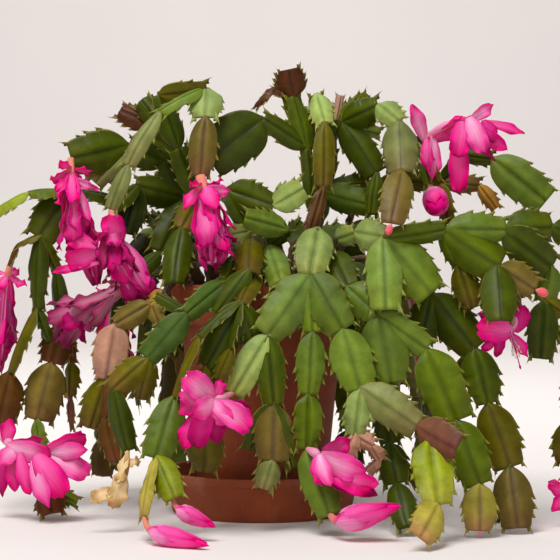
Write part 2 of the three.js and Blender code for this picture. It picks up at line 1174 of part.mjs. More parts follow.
function bloom({ form, axis, girth, size = 1, seat = SEAT_GAP }) {
  const points = [...axis];
  const first = points[1].clone().sub(points[0]).normalize();
  points[0] = points[0].clone().addScaledVector(first, seat);
  const path = new THREE.CatmullRomCurve3(points, false, "centripetal");
  const parts = [taperedTube(path, BLOOM_TUBE.map((share) => share * girth))];
  for (const ring of RINGS[form]) {
    const centre = path.getPoint(ring.at);
    const heading = path.getTangent(ring.at);
    const up = sideOf(heading, new THREE.Vector3(0, -1, 0), 0);
    for (let i = 0; i < ring.count; i += 1) {
      const angle = THREE.MathUtils.degToRad(ring.turn + (360 * i) / ring.count);
      const out = up.clone().applyAxisAngle(heading, angle);
      const root = centre.clone().addScaledVector(out, PETAL_ROOT * girth);
      const [length, width] = [ring.length * size, ring.width * size];
      parts.push(petal(root, heading, out, length, width, ring.lift, ring.curl));
    }
  }
  return joined(parts);
}

// A round body along a path, with the radii at even steps and a flat at each end.
function taperedTube(path, radii, sides = 5) {
  const rings = radii.map((radius, i) => {
    const t = i / (radii.length - 1);
    const centre = path.getPoint(t);
    const heading = path.getTangent(t);
    const up = sideOf(heading, new THREE.Vector3(0, -1, 0), 0);
    return Array.from({ length: sides }, (_, k) => {
      const out = up.clone().applyAxisAngle(heading, (2 * Math.PI * k) / sides);
      return centre.clone().addScaledVector(out, radius);
    });
  });
  const triangles = [];
  const last = rings.length - 1;
  for (let k = 0; k < sides; k += 1) {
    const n = (k + 1) % sides;
    for (let i = 0; i < last; i += 1) {
      triangles.push([rings[i][k], rings[i][n], rings[i + 1][n]]);
      triangles.push([rings[i][k], rings[i + 1][n], rings[i + 1][k]]);
    }
    triangles.push([path.getPoint(0), rings[0][n], rings[0][k]]);
    triangles.push([path.getPoint(1), rings[last][k], rings[last][n]]);
  }
  return solidFromTriangles(triangles);
}

function bud({ axis, radius }) {
  const points = axis.map(seen);
  const first = points[1].clone().sub(points[0]).normalize();
  points[0].addScaledVector(first, SEAT_GAP);
  const path = new THREE.CatmullRomCurve3(points, false, "centripetal");
  const { shares, sides } = radius < SMALL_BUD ? BUD_SHAPES.small : BUD_SHAPES.large;
  return taperedTube(path, shares.map((share) => share * radius), sides);
}

// A bloom behind the pot hangs from the fork of its stem.
function backBloom({ facing, chains }) {
  const [start] = chains.at(-1).at(-1);
  const axis = BACK_DROP.map(([out, down]) => {
    const point = start.clone().addScaledVector(facing, out);
    point.z -= down;
    return point;
  });
  return { form: "wilted", axis, girth: BACK_GIRTH, seat: BACK_SEAT };
}

// Evenly spread draws from 0 to 1 that are the same every time.
function drawsFrom(seed) {
  let state = seed;
  return () => {
    state = (state * 16807) % 2147483647;
    return state / 2147483647;
  };
}

// The stems behind the pot: each keeps near its own upright plane through the axis, arches over the
// rim and hangs. Every other one is short and close to the pot.
function backStems() {
  const draw = drawsFrom(BACK_SEED);
  const around = (spread) => spread * (2 * draw() - 1);
  const made = [];
  for (const [azimuth, name] of BACK_PLACES) {
    const habit = BACK_HABITS[name];
    const at = (radius, height, turn) => {
      const angle = THREE.MathUtils.degToRad(azimuth + turn);
      return new THREE.Vector3(radius * Math.cos(angle), radius * Math.sin(angle), height);
    };
    const joint = ([radius, height], turn = around(BACK_SWAY)) => [
      at(radius + around(BACK_JITTER), Math.max(height + around(BACK_JITTER), BACK_HEM), turn),
      habit.width + around(BACK_JITTER),
      around(BACK_ROLL),
    ];
    const main = habit.joints.map((place) => joint(place));
    const hand = draw() < 0.5 ? -1 : 1;
    const forks = habit.forks.map(([from, share, places]) => [
      main[from],
      ...places.map((place) => joint(place, hand * share * BACK_FORK_TURN)),
    ]);
    const foot = at(habit.root, 0, 0);
    made.push({
      root: [foot.x, foot.y],
      facing: at(1, 0, 0),
      form: PLAIN,
      chains: [main, ...forks],
    });
  }
  return made;
}

function turned(profile) {
  const points = profile.map(([radius, height]) => new THREE.Vector2(radius, height));
  const geometry = new THREE.LatheGeometry(points, TURN_FACETS);
  geometry.rotateX(Math.PI / 2);
  return solidFromGeometry(geometry);
}

function saucer() {
  const collarFoot = SAUCER_HEIGHT - SAUCER_COLLAR;
  const collarRadius = SAUCER_RADIUS - SAUCER_COLLAR_LEAN;
  return turned([
    [0, 0],
    [SAUCER_BASE_RADIUS, 0],
    [collarRadius - SAUCER_COLLAR_STEP, collarFoot],
    [collarRadius, collarFoot],
    [SAUCER_RADIUS, SAUCER_HEIGHT],
    [SAUCER_RADIUS - SAUCER_WALL, SAUCER_HEIGHT],
    [SAUCER_BASE_RADIUS - SAUCER_WALL, SAUCER_FLOOR],
    [0, SAUCER_FLOOR],
  ]);
}

// The pot's inside, from its floor up to the rim, follows its outside.
const POT_FOOT = SAUCER_FLOOR + GAP;
const COLLAR_FOOT = POT_RIM_HEIGHT - POT_COLLAR;
const INNER_RIM_RADIUS = POT_RIM_RADIUS - POT_WALL;
const POT_INSIDE = {
  base: [POT_BASE_RADIUS - POT_WALL, POT_FOOT + POT_FLOOR],
  shoulder: [POT_SHOULDER_RADIUS - POT_WALL, COLLAR_FOOT - 4],
  collar: [INNER_RIM_RADIUS - 2, COLLAR_FOOT + 2],
};

function pot() {
  return turned([
    [DRAIN_RADIUS, POT_FOOT],
    [POT_BASE_RADIUS, POT_FOOT],
    [POT_SHOULDER_RADIUS, COLLAR_FOOT],
    [POT_RIM_RADIUS - POT_COLLAR_LEAN, COLLAR_FOOT],
    [POT_RIM_RADIUS, POT_RIM_HEIGHT - POT_RIM_BEVEL],
    [POT_RIM_RADIUS - POT_RIM_BEVEL, POT_RIM_HEIGHT],
    [INNER_RIM_RADIUS, POT_RIM_HEIGHT],
    POT_INSIDE.collar,
    POT_INSIDE.shoulder,
    POT_INSIDE.base,
    [DRAIN_RADIUS, POT_INSIDE.base[1]],
    [DRAIN_RADIUS, POT_FOOT],
  ]);
}

// The soil fills the pot up to its own height, with a plain hole for each stem.
function soil(stems) {
  const clear = ([radius, height]) => [radius - SOIL_CLEARANCE, height + GAP];
  const [collarRadius, collarHeight] = POT_INSIDE.collar;
  const climbed = (SOIL_HEIGHT - collarHeight) / (POT_RIM_HEIGHT - collarHeight);
  const surfaceRadius = THREE.MathUtils.lerp(collarRadius, INNER_RIM_RADIUS, climbed);
  const filled = turned([
    [0, POT_INSIDE.base[1] + GAP],
    clear(POT_INSIDE.base),
    clear(POT_INSIDE.shoulder),
    clear(POT_INSIDE.collar),
    [surfaceRadius - SOIL_CLEARANCE, SOIL_HEIGHT],
    [0, SOIL_HEIGHT],
  ]);
  const up = new THREE.Vector3(0, 0, 1);
  const across = new THREE.Vector3(1, 0, 0);
  const holes = stems.map(({ root: [x, y], radius = STALK_RADIUS }) => {
    const wide = radius + HOLE_CLEARANCE;
    const rings = [SOIL_HEIGHT - HOLE_DEPTH, SOIL_HEIGHT + 1].map((z) =>
      ringAt(new THREE.Vector3(x, y, z), up, across, wide, wide),
    );
    return tubeThrough(rings);
  });
  return filled.subtract(wasm.Manifold.union(holes));
}

const TERRACOTTA = 0x6b3320;
const LEAF = 0x4f6b1c;
const MAGENTA = 0xd4156f;
const TAN = 0xd9b27c;
const EARTH = 0x2a1c12;

const stems = new Map(Object.entries(STEMS).map(([name, stem]) => [name, placedStem(stem)]));
backStems().forEach((stem, i) => stems.set("back_" + (i + 1), stem));
const blooms = new Map(
  Object.entries(BLOOMS).map(([name, made]) => [name, { ...made, axis: made.axis.map(seen) }]),
);

for (const name of BACK_BLOOMS) {
  blooms.set(name, backBloom(stems.get(name)));
}

const plant = new THREE.Group();
plant.add(meshFromSolid("saucer", saucer(), TERRACOTTA, 0.8));
plant.add(meshFromSolid("pot", pot(), TERRACOTTA, 0.8));
plant.add(meshFromSolid("soil", soil([...stems.values()]), EARTH, 1));
for (const [name, stem] of stems) {
  plant.add(meshFromSolid("stem_" + name, leafyStem(stem), LEAF, 0.45));
}
for (const [name, made] of blooms) {
  const colour = made.form === "dried" ? TAN : MAGENTA;
  plant.add(meshFromSolid("bloom_" + name, bloom(made), colour, 0.5));
}
for (const [name, made] of Object.entries(BUDS)) {
  plant.add(meshFromSolid("bud_" + name, bud(made), MAGENTA, 0.5));
}

export default plant;
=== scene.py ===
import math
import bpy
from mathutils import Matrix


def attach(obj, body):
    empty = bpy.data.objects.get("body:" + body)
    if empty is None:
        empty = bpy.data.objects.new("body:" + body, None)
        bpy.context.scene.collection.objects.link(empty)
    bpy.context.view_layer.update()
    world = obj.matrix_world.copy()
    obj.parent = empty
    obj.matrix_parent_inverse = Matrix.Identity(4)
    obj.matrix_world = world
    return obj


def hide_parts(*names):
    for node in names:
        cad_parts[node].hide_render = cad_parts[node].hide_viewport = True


bl_info = {
    "name": "Potted Christmas Cactus",
    "version": (1, 0, 0),
    "blender": (4, 5, 0),
    "location": "View3D > Sidebar > Cactus",
    "description": "Dresses the christmas cactus, its pot and its saucer, and lights them",
    "category": "Object",
}

import bpy
import numpy as np
from bpy.props import FloatProperty, FloatVectorProperty, PointerProperty

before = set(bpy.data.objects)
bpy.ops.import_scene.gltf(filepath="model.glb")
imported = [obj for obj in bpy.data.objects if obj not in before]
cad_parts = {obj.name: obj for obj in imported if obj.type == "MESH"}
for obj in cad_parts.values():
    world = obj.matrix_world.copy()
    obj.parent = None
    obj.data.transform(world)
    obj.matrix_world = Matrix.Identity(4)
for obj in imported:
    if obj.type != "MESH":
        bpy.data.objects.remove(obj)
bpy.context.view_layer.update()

MM = 0.001
STEM_SEED = 100
BLOOM_SEED = 300
BUD_SEED = 500
SOIL_SEED = 7

# The eye of the photograph, in mm. A joint (u, w, depth) is where it sees the joint in the upright
# plane through the pot's axis, and how far behind that plane the joint lies.
EYE_DISTANCE = 1500.0
EYE_HEIGHT = 215.0
# Pieces face the eye's side. One that points nearly at the eye faces up, and that is where the
# sine of the angle between them is less than this.
EYE_SIDE = np.array([0.0, -1.0, 0.0])
END_ON = 0.35

# Skin of the stem segments: body, tip and midrib.
TONES = {
    "g": ("#5E7221", "#6C7C14", "#384E0D"),  # grown green
    "f": ("#708736", "#79892B", "#476023"),  # fresh green
    "s": ("#506000", "#5C6500", "#364400"),  # strong sap green
    "d": ("#3D4900", "#4B5000", "#1E2B00"),  # dark green
    "k": ("#212B00", "#2B2E00", "#000D00"),  # nearly black, deep in the shade
    "u": ("#496021", "#52671B", "#2E4714"),  # bluish green
    "p": ("#899B50", "#979D47", "#607533"),  # pale green
    "y": ("#7E890D", "#949031", "#606E04"),  # yellow green
    "n": ("#A09436", "#AF7752", "#775C3F"),  # yellow green that reddens towards its tip
    "o": ("#5C5500", "#6C521E", "#3D3300"),  # olive
    "e": ("#72773F", "#807042", "#55572B"),  # greyish green
    "m": ("#6C5C23", "#775233", "#52332E"),  # olive brown with a purple midrib
    "b": ("#59380D", "#65361E", "#381B00"),  # brown
    "c": ("#502B11", "#4E2111", "#361404"),  # dark red brown
    "v": ("#6C442E", "#673831", "#572331"),  # purplish brown
    "r": ("#AD7E65", "#BB8972", "#80594E"),  # dried to rose brown
    "t": ("#A67C31", "#A67226", "#724E11"),  # dried to tan
}
MARGIN_TONE = "#9C9040"
CORK_TONE = "#5B4426"

# Leafy stems. The root is the stem's place in the soil, a stalk has joints of its own, and chains
# of segments start at the top of the stalk or at a joint of an earlier chain. Each segment gives
# the joint it ends in, its width, its roll from facing the eye and its tone.
STEMS = {
    "left_arm": {
        "root": (-38, 10),
        "stalk": [(-44, 190, 13)],
        "chains": [
            [
                (-62, 206, 24), (-84, 221, 27, 20, 30, "d"), (-108, 233, 24, 22, 60, "d"),
                (-145, 240, 12, 20, 66, "d"), (-175, 238, 0, 22, 70, "s"),
                (-204, 221, -8, 20, 70, "y"),
            ],
            [
                (-145, 240, 12), (-167, 205, 2, 31, 8, "d"), (-169, 151, -4, 17, 20, "d"),
                (-189, 104, -9, 20, 64, "o"), (-199, 61, -13, 27, 8, "b"),
            ],
            [(-167, 205, 2), (-183, 199, -1, 12, 78, "o"), (-189, 184, -4, 10, 78, "b")],
            [
                (-167, 205, 2), (-154, 181, 6, 12, 20, "d"), (-149, 139, 4, 15, 30, "d"),
                (-158, 111, -3, 27, 10, "b"), (-169, 68, -10, 32, 5, "m"),
                (-165, 46, -14, 14, 30, "g"), (-161, 18, -30, 18, 20, "d"),
                (-158, -2, -54, 24, 0, "b"),
            ],
            [(-169, 151, -4), (-159, 127, -1, 11, 30, "d")],
            [
                (-149, 139, 4), (-143, 112, 9, 14, 20, "b"), (-144, 86, 10, 13, 20, "o"),
                (-143, 61, 9, 8, 40, "v"),
            ],
            [(-161, 18, -30), (-139, 6, -40, 13, 10, "g")],
        ],
    },
    "left_trunk": {
        "root": (-42, -16),
        "stalk": [(-53, 182, -32), (-66, 176, -44)],
        "radius": 4.6,
        "chains": [
            [
                (-72, 164, -48), (-84, 155, -50, 16, 20, "t"), (-110, 140, -50, 19, 10, "m"),
                (-117, 99, -52, 27, 0, "r"), (-129, 62, -50, 24, 0, "o"),
            ],
            [(-117, 99, -52), (-117, 70, -58, 12, 40, "b"), (-109, 37, -62, 19, 10, "b")],
            [(-84, 155, -50), (-75, 138, -54, 12, 10, "m")],
        ],
    },
    "front_left": {
        "root": (-20, -40),
        "chains": [
            [
                (-14, 190, -48), (-27, 172, -74, 20, 10, "d"), (-57, 148, -92, 18, 0, "u"),
                (-86, 114, -98, 23, 0, "u"), (-113, 91, -101, 22, 10, "o"),
            ],
            [(-113, 91, -101), (-101, 45, -104, 17, 10, "d")],
            [(-86, 114, -98), (-92, 84, -94, 19, 0, "o")],
            [(-57, 148, -92), (-79, 162, -86, 12, 40, "d")],
        ],
    },
    "low_left": {
        "root": (-6, -44),
        "chains": [
            [
                (-3, 178, -61), (-16, 156, -96, 16, 40, "o"), (-47, 130, -106, 14, 66, "d"),
                (-66, 85, -108, 16, 66, "o"), (-80, 39, -128, 26, 0, "g"),
                (-89, -5, -152, 15, 48, "n"),
            ],
            [(-80, 39, -128), (-66, 9, -149, 22, 0, "y")],
            [
                (-16, 156, -96), (-42, 108, -100, 26, 5, "d"), (-42, 66, -98, 23, 0, "o"),
                (-44, 29, -96, 27, 0, "o"),
            ],
            [(-16, 156, -96), (-23, 121, -110, 14, 66, "d"), (-33, 98, -110, 14, 30, "o")],
            [(-16, 156, -96), (-2, 114, -90, 19, -10, "d")],
        ],
    },
    "star": {
        "root": (12, -48),
        "chains": [
            [
                (42, 212, -50), (36, 177, -80, 29, 0, "p"), (4, 131, -98, 33, 0, "f"),
                (9, 79, -106, 22, 0, "d"), (8, 37, -112, 28, 0, "m"), (1, 16, -114, 18, 0, "e"),
            ],
            [(4, 131, -98), (-22, 88, -106, 24, 0, "p")],
            [(9, 79, -106), (23, 32, -106, 15, 20, "d")],
            [(9, 79, -106), (-9, 46, -97, 20, -10, "d")],
            [
                (36, 177, -80), (61, 136, -98, 31, 0, "g"), (74, 91, -110, 32, 0, "g"),
                (70, 56, -116, 20, 0, "p"), (83, 49, -116, 15, 12, "r"), (89, 38, -112, 13, 40, "r"),
                (79, 30, -108, 12, 60, "r"),
            ],
            [(70, 56, -116), (62, 39, -120, 14, 30, "r")],
            [
                (36, 177, -80), (38, 134, -90, 22, 0, "g"), (35, 87, -102, 22, 0, "g"),
                (34, 46, -110, 21, 0, "s"), (51, -4, -132, 26, 0, "g"),
            ],
            [(74, 91, -110), (117, 63, -126, 28, 0, "e"), (146, 46, -154, 28, 12, "v")],
            [(126, 53, -134), (132, 4, -162, 30, 0, "y"), (119, -21, -194, 24, 0, "n")],
        ],
    },
    "right_front": {
        "root": (32, -38),
        "chains": [
            [
                (52, 194, -50), (64, 168, -80, 24, 0, "d"), (88, 147, -92, 27, 0, "g"),
                (97, 95, -106, 35, 0, "g"),
            ],
            [
                (88, 147, -92), (124, 121, -100, 23, 10, "g"), (146, 67, -112, 34, 0, "s"),
                (164, 19, -126, 30, 0, "s"), (164, -16, -138, 25, 0, "n"),
            ],
        ],
    },
    "right_under": {
        "root": (46, -22),
        "chains": [
            [
                (66, 186, -36), (80, 158, -62, 20, 10, "d"), (84, 118, -76, 22, 0, "g"),
                (92, 78, -82, 24, 0, "g"), (96, 50, -90, 22, 10, "d"), (101, 20, -104, 24, 0, "d"),
                (110, -13, -132, 21, 0, "d"),
            ],
            [(96, 50, -90), (116, 20, -98, 12, 50, "d")],
        ],
    },
    "right": {
        "root": (50, -8),
        "stalk": [(64, 186, -16)],
        "chains": [
            [
                (86, 190, -38), (106, 178, -54, 20, 10, "d"), (128, 162, -68, 26, 10, "d"),
                (160, 121, -78, 32, 0, "d"), (170, 80, -88, 28, 0, "d"), (187, 32, -102, 30, 0, "o"),
                (193, -14, -122, 29, 0, "m"),
            ],
            [(128, 162, -68), (119, 126, -72, 24, 10, "d")],
            [(160, 121, -78), (152, 97, -72, 16, 20, "d")],
            [(187, 32, -102), (181, -8, -110, 14, 30, "d")],
        ],
    },
    "star_right": {
        "root": (34, -14),
        "chains": [
            [
                (56, 204, -46), (70, 209, -62, 16, 10, "p"), (92, 205, -80, 25, 0, "p"),
                (138, 211, -86, 18, 18, "s"), (183, 211, -86, 25, 0, "g"), (218, 213, -82, 28, 0, "d"),
                (240, 205, -80, 20, 0, "d"),
            ],
            [(92, 205, -80), (127, 163, -94, 35, 0, "g")],
            [(92, 205, -80), (93, 151, -100, 28, 0, "f")],
            [(138, 211, -86), (178, 183, -90, 35, 10, "s"), (205, 166, -88, 24, 0, "m")],
            [(178, 183, -90), (184, 150, -82, 30, 0, "o")],
            [(138, 211, -86), (148, 184, -76, 16, 20, "s"), (158, 152, -80, 20, 10, "o")],
            [
                (183, 211, -86), (217, 184, -72, 28, 10, "d"), (212, 157, -66, 20, 20, "g"),
                (209, 114, -70, 24, 0, "d"),
            ],
            [
                (212, 157, -66), (230, 146, -64, 14, 20, "o"), (240, 106, -66, 22, 10, "o"),
                (236, 68, -68, 26, 0, "n"), (230, 34, -70, 28, 0, "o"),
            ],
            [(178, 183, -90), (180, 143, -116, 27, 0, "d")],
        ],
    },
    "upper_right": {
        "root": (36, 4),
        "chains": [
            [
                (46, 240, 8), (52, 280, 6, 16, 20, "d"), (61, 292, 2, 14, 20, "d"),
                (87, 304, -14, 24, 0, "d"), (103, 292, -36, 20, -8, "p"), (105, 255, -62, 28, 0, "e"),
                (97, 216, -90, 24, 0, "m"),
            ],
            [(61, 292, 2), (86, 253, -8, 24, 0, "d"), (82, 222, -16, 13, 20, "d")],
            [(61, 292, 2), (88, 283, 12, 13, 30, "f")],
            [(61, 292, 2), (80, 310, 12, 20, 20, "s")],
            [(52, 280, 6), (59, 311, 14, 10, 30, "r")],
            [(46, 240, 8), (80, 247, 10, 18, 10, "d")],
            [(46, 240, 8), (82, 229, 0, 24, 10, "g")],
        ],
    },
    "right_top": {
        "root": (50, 20),
        "chains": [
            [
                (68, 226, 24), (98, 248, 22, 20, 30, "o"), (136, 247, 14, 18, 20, "o"),
                (163, 244, 8, 15, 10, "m"), (176, 227, 4, 12, 10, "t"),
            ],
            [
                (136, 247, 14), (151, 267, 10, 14, 30, "d"), (173, 264, 4, 15, 20, "d"),
                (213, 232, -6, 31, 0, "g"),
            ],
            [
                (98, 248, 22), (108, 274, 8, 16, 20, "o"), (121, 277, -14, 14, 20, "o"),
                (134, 246, -24, 12, 66, "o"), (141, 216, -32, 16, 50, "o"),
            ],
            [(121, 277, -14), (126, 244, -20, 13, 10, "g")],
        ],
    },
    "top_left": {
        "root": (-22, -8),
        "chains": [
            [
                (-48, 236, -6), (-62, 272, -8, 22, 20, "d"), (-77, 312, -10, 20, 20, "d"),
                (-41, 316, -24, 18, 20, "o"), (-42, 295, -38, 25, 0, "p"), (-46, 251, -50, 22, 0, "m"),
            ],
            [
                (-41, 316, -24), (-76, 299, -38, 16, 55, "g"), (-100, 259, -50, 16, 30, "e"),
                (-113, 226, -56, 15, 30, "e"),
            ],
            [(-62, 272, -8), (-90, 308, 2, 23, 0, "d")],
            [(-62, 272, -8), (-84, 290, 8, 20, 10, "d"), (-106, 300, 12, 20, 10, "c")],
            [(-48, 236, -6), (-60, 212, -34, 21, 0, "o"), (-66, 171, -60, 22, 0, "d")],
        ],
    },
    "upper_left": {
        "root": (-24, 14),
        "stalk": [(-34, 200, 20)],
        "chains": [
            [
                (-58, 236, 24), (-72, 262, 22, 22, 20, "d"), (-100, 274, 16, 26, 10, "d"),
                (-143, 264, -2, 35, 0, "d"),
            ],
            [(-100, 274, 16), (-125, 246, 10, 18, 10, "e")],
            [(-58, 236, 24), (-95, 244, 10, 25, 0, "d"), (-103, 208, 2, 26, 0, "k")],
            [(-95, 244, 10), (-112, 226, -6, 16, 20, "d")],
            [(-58, 236, 24), (-76, 194, 4, 25, 0, "d"), (-97, 174, -12, 14, 20, "d")],
            [(-72, 262, 22), (-84, 284, 24, 22, 0, "d")],
        ],
    },
    "top_centre": {
        "root": (18, -14),
        "chains": [
            [
                (37, 222, -18), (34, 272, -14, 13, 30, "d"), (1, 294, -20, 18, 20, "d"),
                (-40, 263, -28, 40, 0, "d"),
            ],
            [(34, 272, -14), (24, 311, -13, 16, 10, "s"), (20, 331, -18, 24, 0, "c")],
            [
                (34, 272, -14), (20, 312, -4, 15, 20, "s"), (8, 316, -4, 12, 60, "c"),
                (-4, 303, -6, 12, 60, "c"),
            ],
        ],
    },
    "top_pale": {
        "root": (20, 12),
        "chains": [
            [
                (44, 216, 22), (46, 262, 22, 16, 20, "d"), (41, 312, 2, 18, 10, "o"),
                (47, 291, -24, 19, 0, "p"), (46, 243, -36, 17, 0, "o"), (34, 204, -48, 12, 0, "b"),
            ],
        ],
    },
    "crown": {
        "root": (-4, -22),
        "chains": [
            [
                (4, 200, -34), (-10, 210, -38, 16, 20, "e"), (-26, 241, -36, 18, 20, "d"),
                (9, 229, -42, 25, 0, "d"), (31, 242, -44, 22, 0, "p"),
            ],
            [(4, 200, -34), (19, 211, -42, 14, 30, "d"), (-13, 220, -54, 20, 10, "g")],
            [(-10, 210, -38), (-10, 180, -78, 23, 0, "o"), (-34, 148, -84, 20, 10, "d")],
            [(4, 200, -34), (14, 172, -80, 22, 0, "f")],
            [(-10, 210, -38), (-27, 206, -56, 15, 20, "e")],
        ],
    },
}

# Blooms and buds. The axis runs from the joint that carries one to its far end. Girth is the
# tube's or the skirt's radius, size scales the rings of petals, tube is the share of the axis that
# the tube takes up, and style is where the style of an open bloom ends.
BLOOMS = {
    "long_left": {
        "form": "wilted", "girth": 8,
        "axis": [(-143, 264, -2), (-142, 240, -18), (-133, 205, -15), (-125, 174, -16)],
    },
    "drooping_left": {
        "form": "hanging", "girth": 10,
        "axis": [(-112, 226, -6), (-111, 206, -35), (-103, 186, -40), (-90, 163, -36)],
    },
    "withered_left": {
        "form": "withered", "girth": 10,
        "axis": [(-97, 174, -12), (-110, 163, -16), (-130, 152, -16), (-151, 130, -18)],
    },
    "edge_left": {
        "form": "wilted", "girth": 8,
        "axis": [(-189, 184, -4), (-192, 168, 6), (-195, 138, 14), (-198, 108, 20)],
    },
    "low_left": {
        "form": "open", "girth": 6,
        "axis": [(-199, 61, -13), (-194, 54, -28), (-182, 46, -46), (-168, 40, -60)],
    },
    "hanging_top": {
        "form": "wilted", "girth": 12.5,
        "axis": [(-46, 251, -50), (-43, 236, -56), (-38, 208, -66), (-37, 186, -73)],
    },
    "front_right": {
        "form": "open", "girth": 6, "tube": 0.36,
        "axis": [(34, 46, -110), (42, 42, -126), (54, 35, -140), (67, 28, -150)],
    },
    "front_left": {
        "form": "open", "girth": 6,
        "axis": [(-22, 88, -106), (-31, 84, -118), (-40, 78, -130), (-48, 72, -140)],
    },
    "top_right": {
        "form": "open", "girth": 6,
        "axis": [(121, 277, -14), (132, 286, -22), (148, 292, -30), (163, 290, -38)],
    },
    "right": {
        "form": "open", "girth": 6, "style": (194, 108, -104),
        "axis": [(184, 150, -82), (189, 144, -88), (186, 137, -94), (176, 136, -102)],
    },
    "edge_right": {
        "form": "open", "girth": 6, "size": 0.55,
        "axis": [(230, 34, -70), (233, 24, -74), (235, 18, -80), (234, 13, -88)],
    },
    "dried_left": {
        "form": "dried", "girth": 5,
        "axis": [(-101, 45, -104), (-102, 34, -106), (-106, 20, -108), (-112, 6, -108)],
    },
}
BUDS = {
    "low_left": {"radius": 6.6, "axis": [(-89, -5, -152), (-85, -14, -161), (-40, -27, -186)]},
    "low_left_back": {"radius": 5.4, "axis": [(-68, 10, -142), (-64, 2, -147), (-35, -13, -150)]},
    "low_right": {"radius": 8.6, "axis": [(51, -4, -132), (58, -8, -146), (105, 3, -154)]},
    "upper_right": {
        "radius": 9, "blunt": True,
        "axis": [(126, 244, -20), (129, 236, -30), (132, 226, -54)],
    },
    "tiny_upper": {"radius": 2.7, "blunt": True, "axis": [(97, 216, -90), (96, 213, -91), (94, 207, -92)]},
    "tiny_right": {
        "radius": 3.3, "blunt": True,
        "axis": [(205, 166, -88), (208, 165, -89), (215, 162, -90)],
    },
    "tiny_low": {"radius": 1.6, "axis": [(164, -16, -138), (164, -17, -138.5), (164, -19.5, -139)]},
}

# Stems behind the pot by azimuth and habit. A habit has joints (radius, height) from the pot's axis
# and forks: the joint where one starts, its share of a turn aside and its own joints.
BACK_PLACES = [
    (5, "side"), (36, "long"), (49, "short"), (62, "long"), (76, "short"), (90, "long"),
    (104, "short"), (118, "long"), (131, "short"), (144, "long"), (165, "side"),
]
# Seed, sway and roll in degrees, jitter and lowest height of a joint in mm, a fork's turn in
# degrees, and the blooms that hang there: girth, stems and drop (outwards, down) from a fork.
BACK_SEED = 58
BACK_SWAY = 2.5
BACK_JITTER = 4
BACK_ROLL = 25
BACK_HEM = 8
BACK_FORK_TURN = 8
BACK_GIRTH = 9
BACK_BLOOMS = ("back_2", "back_6", "back_10")
BACK_DROP = [(0, 0), (-1, 16), (-2, 48), (-4, 80)]
BACK_TONES = "dgodgdoumd"
BACK_HABITS = {
    "short": {
        "root": 50,
        "width": 26,
        "joints": [(62, 184), (90, 186), (106, 152), (109, 110), (108, 68)],
        "forks": [(2, 1, [(102, 114)])],
    },
    "side": {
        "root": 50,
        "width": 26,
        "joints": [(62, 184), (90, 187), (110, 156), (117, 114), (119, 72), (117, 34)],
        "forks": [
            (1, 1.7, [(104, 158), (110, 116), (112, 78)]),
            (1, -1.7, [(106, 162), (113, 122), (116, 84), (117, 46)]),
        ],
    },
    "long": {
        "root": 36,
        "width": 30,
        "joints": [
            (50, 196), (76, 214), (112, 210), (140, 176), (152, 132), (158, 86), (160, 44),
            (158, 12),
        ],
        "forks": [(2, 1, [(132, 176)])],
    },
}

# Segments, in mm and in shares of a segment's length or half width. Each is sunk in the one it
# grows from, bows a little and has a round neck. Then the rows and columns of its mesh.
SINK = 1.5
BEND = 0.04
NECK = 2.6
SLENDER_WIDTH = 19
ALONG = [
    0.0, 0.015, 0.04, 0.075, 0.12, 0.18, 0.25, 0.33, 0.41, 0.49, 0.57, 0.65, 0.73, 0.81, 0.89, 0.95,
    1.0,
]
FRONT = np.array([0.0, 0.06, 0.15, 0.3, 0.5, 0.72, 0.9, 1.0])
BACK = np.array([0.88, 0.5, 0.12])
# What differs from one segment to the next: the turn from neck to apex in degrees, how far the
# margins curve back and the halves fold back, the ridges' and waves' strength, and the lightness.
TWIST_RANGE = (-18, 18)
CUP_RANGE = (-0.03, 0.16)
FOLD_RANGE = (-0.05, 0.16)
RIDGE_RANGE = (0.5, 1.8)
WAVE_RANGE = (0.4, 1.6)
LIGHTNESS_RANGE = (0.74, 1.16)
TWIST_PIVOT = 0.3
# A segment rises out of its round neck into its ridges, waves and fold, and is nearly flat there.
BODY_REACH = (0.0, 0.18)
RIDGE_PLACE = 0.33
RIDGE_SPREAD = 0.2
GROOVE_SPREAD = 0.07
GROOVE_FRONT = 0.5
GROOVE_BACK = 0.6
FOLD_EASE = (0.0, 0.1)
FULLNESS = 1.02
LONG_WAVES = 1.1
RIM_WAVES = 3
RIM_WAVE_SHARE = 0.6
# Half width along a segment, from its neck to its blunt apex.
OUTLINE = (
    [0.0, 0.02, 0.05, 0.1, 0.16, 0.24, 0.34, 0.46, 0.6, 0.74, 0.86, 0.95, 1.0],
    [0.1, 0.17, 0.34, 0.55, 0.72, 0.85, 0.94, 1.0, 1.0, 0.96, 0.91, 0.86, 0.76],
)
# The margin steps in behind each claw and comes out again to the next one.
CLAWS_WIDE = (0.46, 0.65, 0.83)
CLAWS_SLENDER = (0.55, 0.79)
CLAW_SHIFTS = (-0.05, 0.04)
CLAW_CLEARANCE = 0.02
STEP_LENGTH = 0.012
STEP_RANGE = (0.04, 0.15)
TAPER_START = 0.55
TAPER_RANGE = (0, 0.3)
# One margin lies a little before or behind the other, but for the neck and the apex.
MARGIN_SHIFTS = (-0.04, 0.04)
SHIFT_START = (0.1, 0.3)
SHIFT_END = (0.9, 1.0)
# A claw's rings: where on it, and their half widths, thicknesses and shares of the margin's tone.
CLAW_SIDES = 6
CLAW_STEPS = np.array([0.0, 0.3, 0.6, 0.85, 1.0])
CLAW_HALVES = np.array([1.1, 0.75, 0.42, 0.2, 0.05])
CLAW_FLATS = np.array([0.5, 0.42, 0.32, 0.2, 0.06])
CLAW_FADES = np.array([0.0, 0.25, 0.6, 0.9, 1.0])
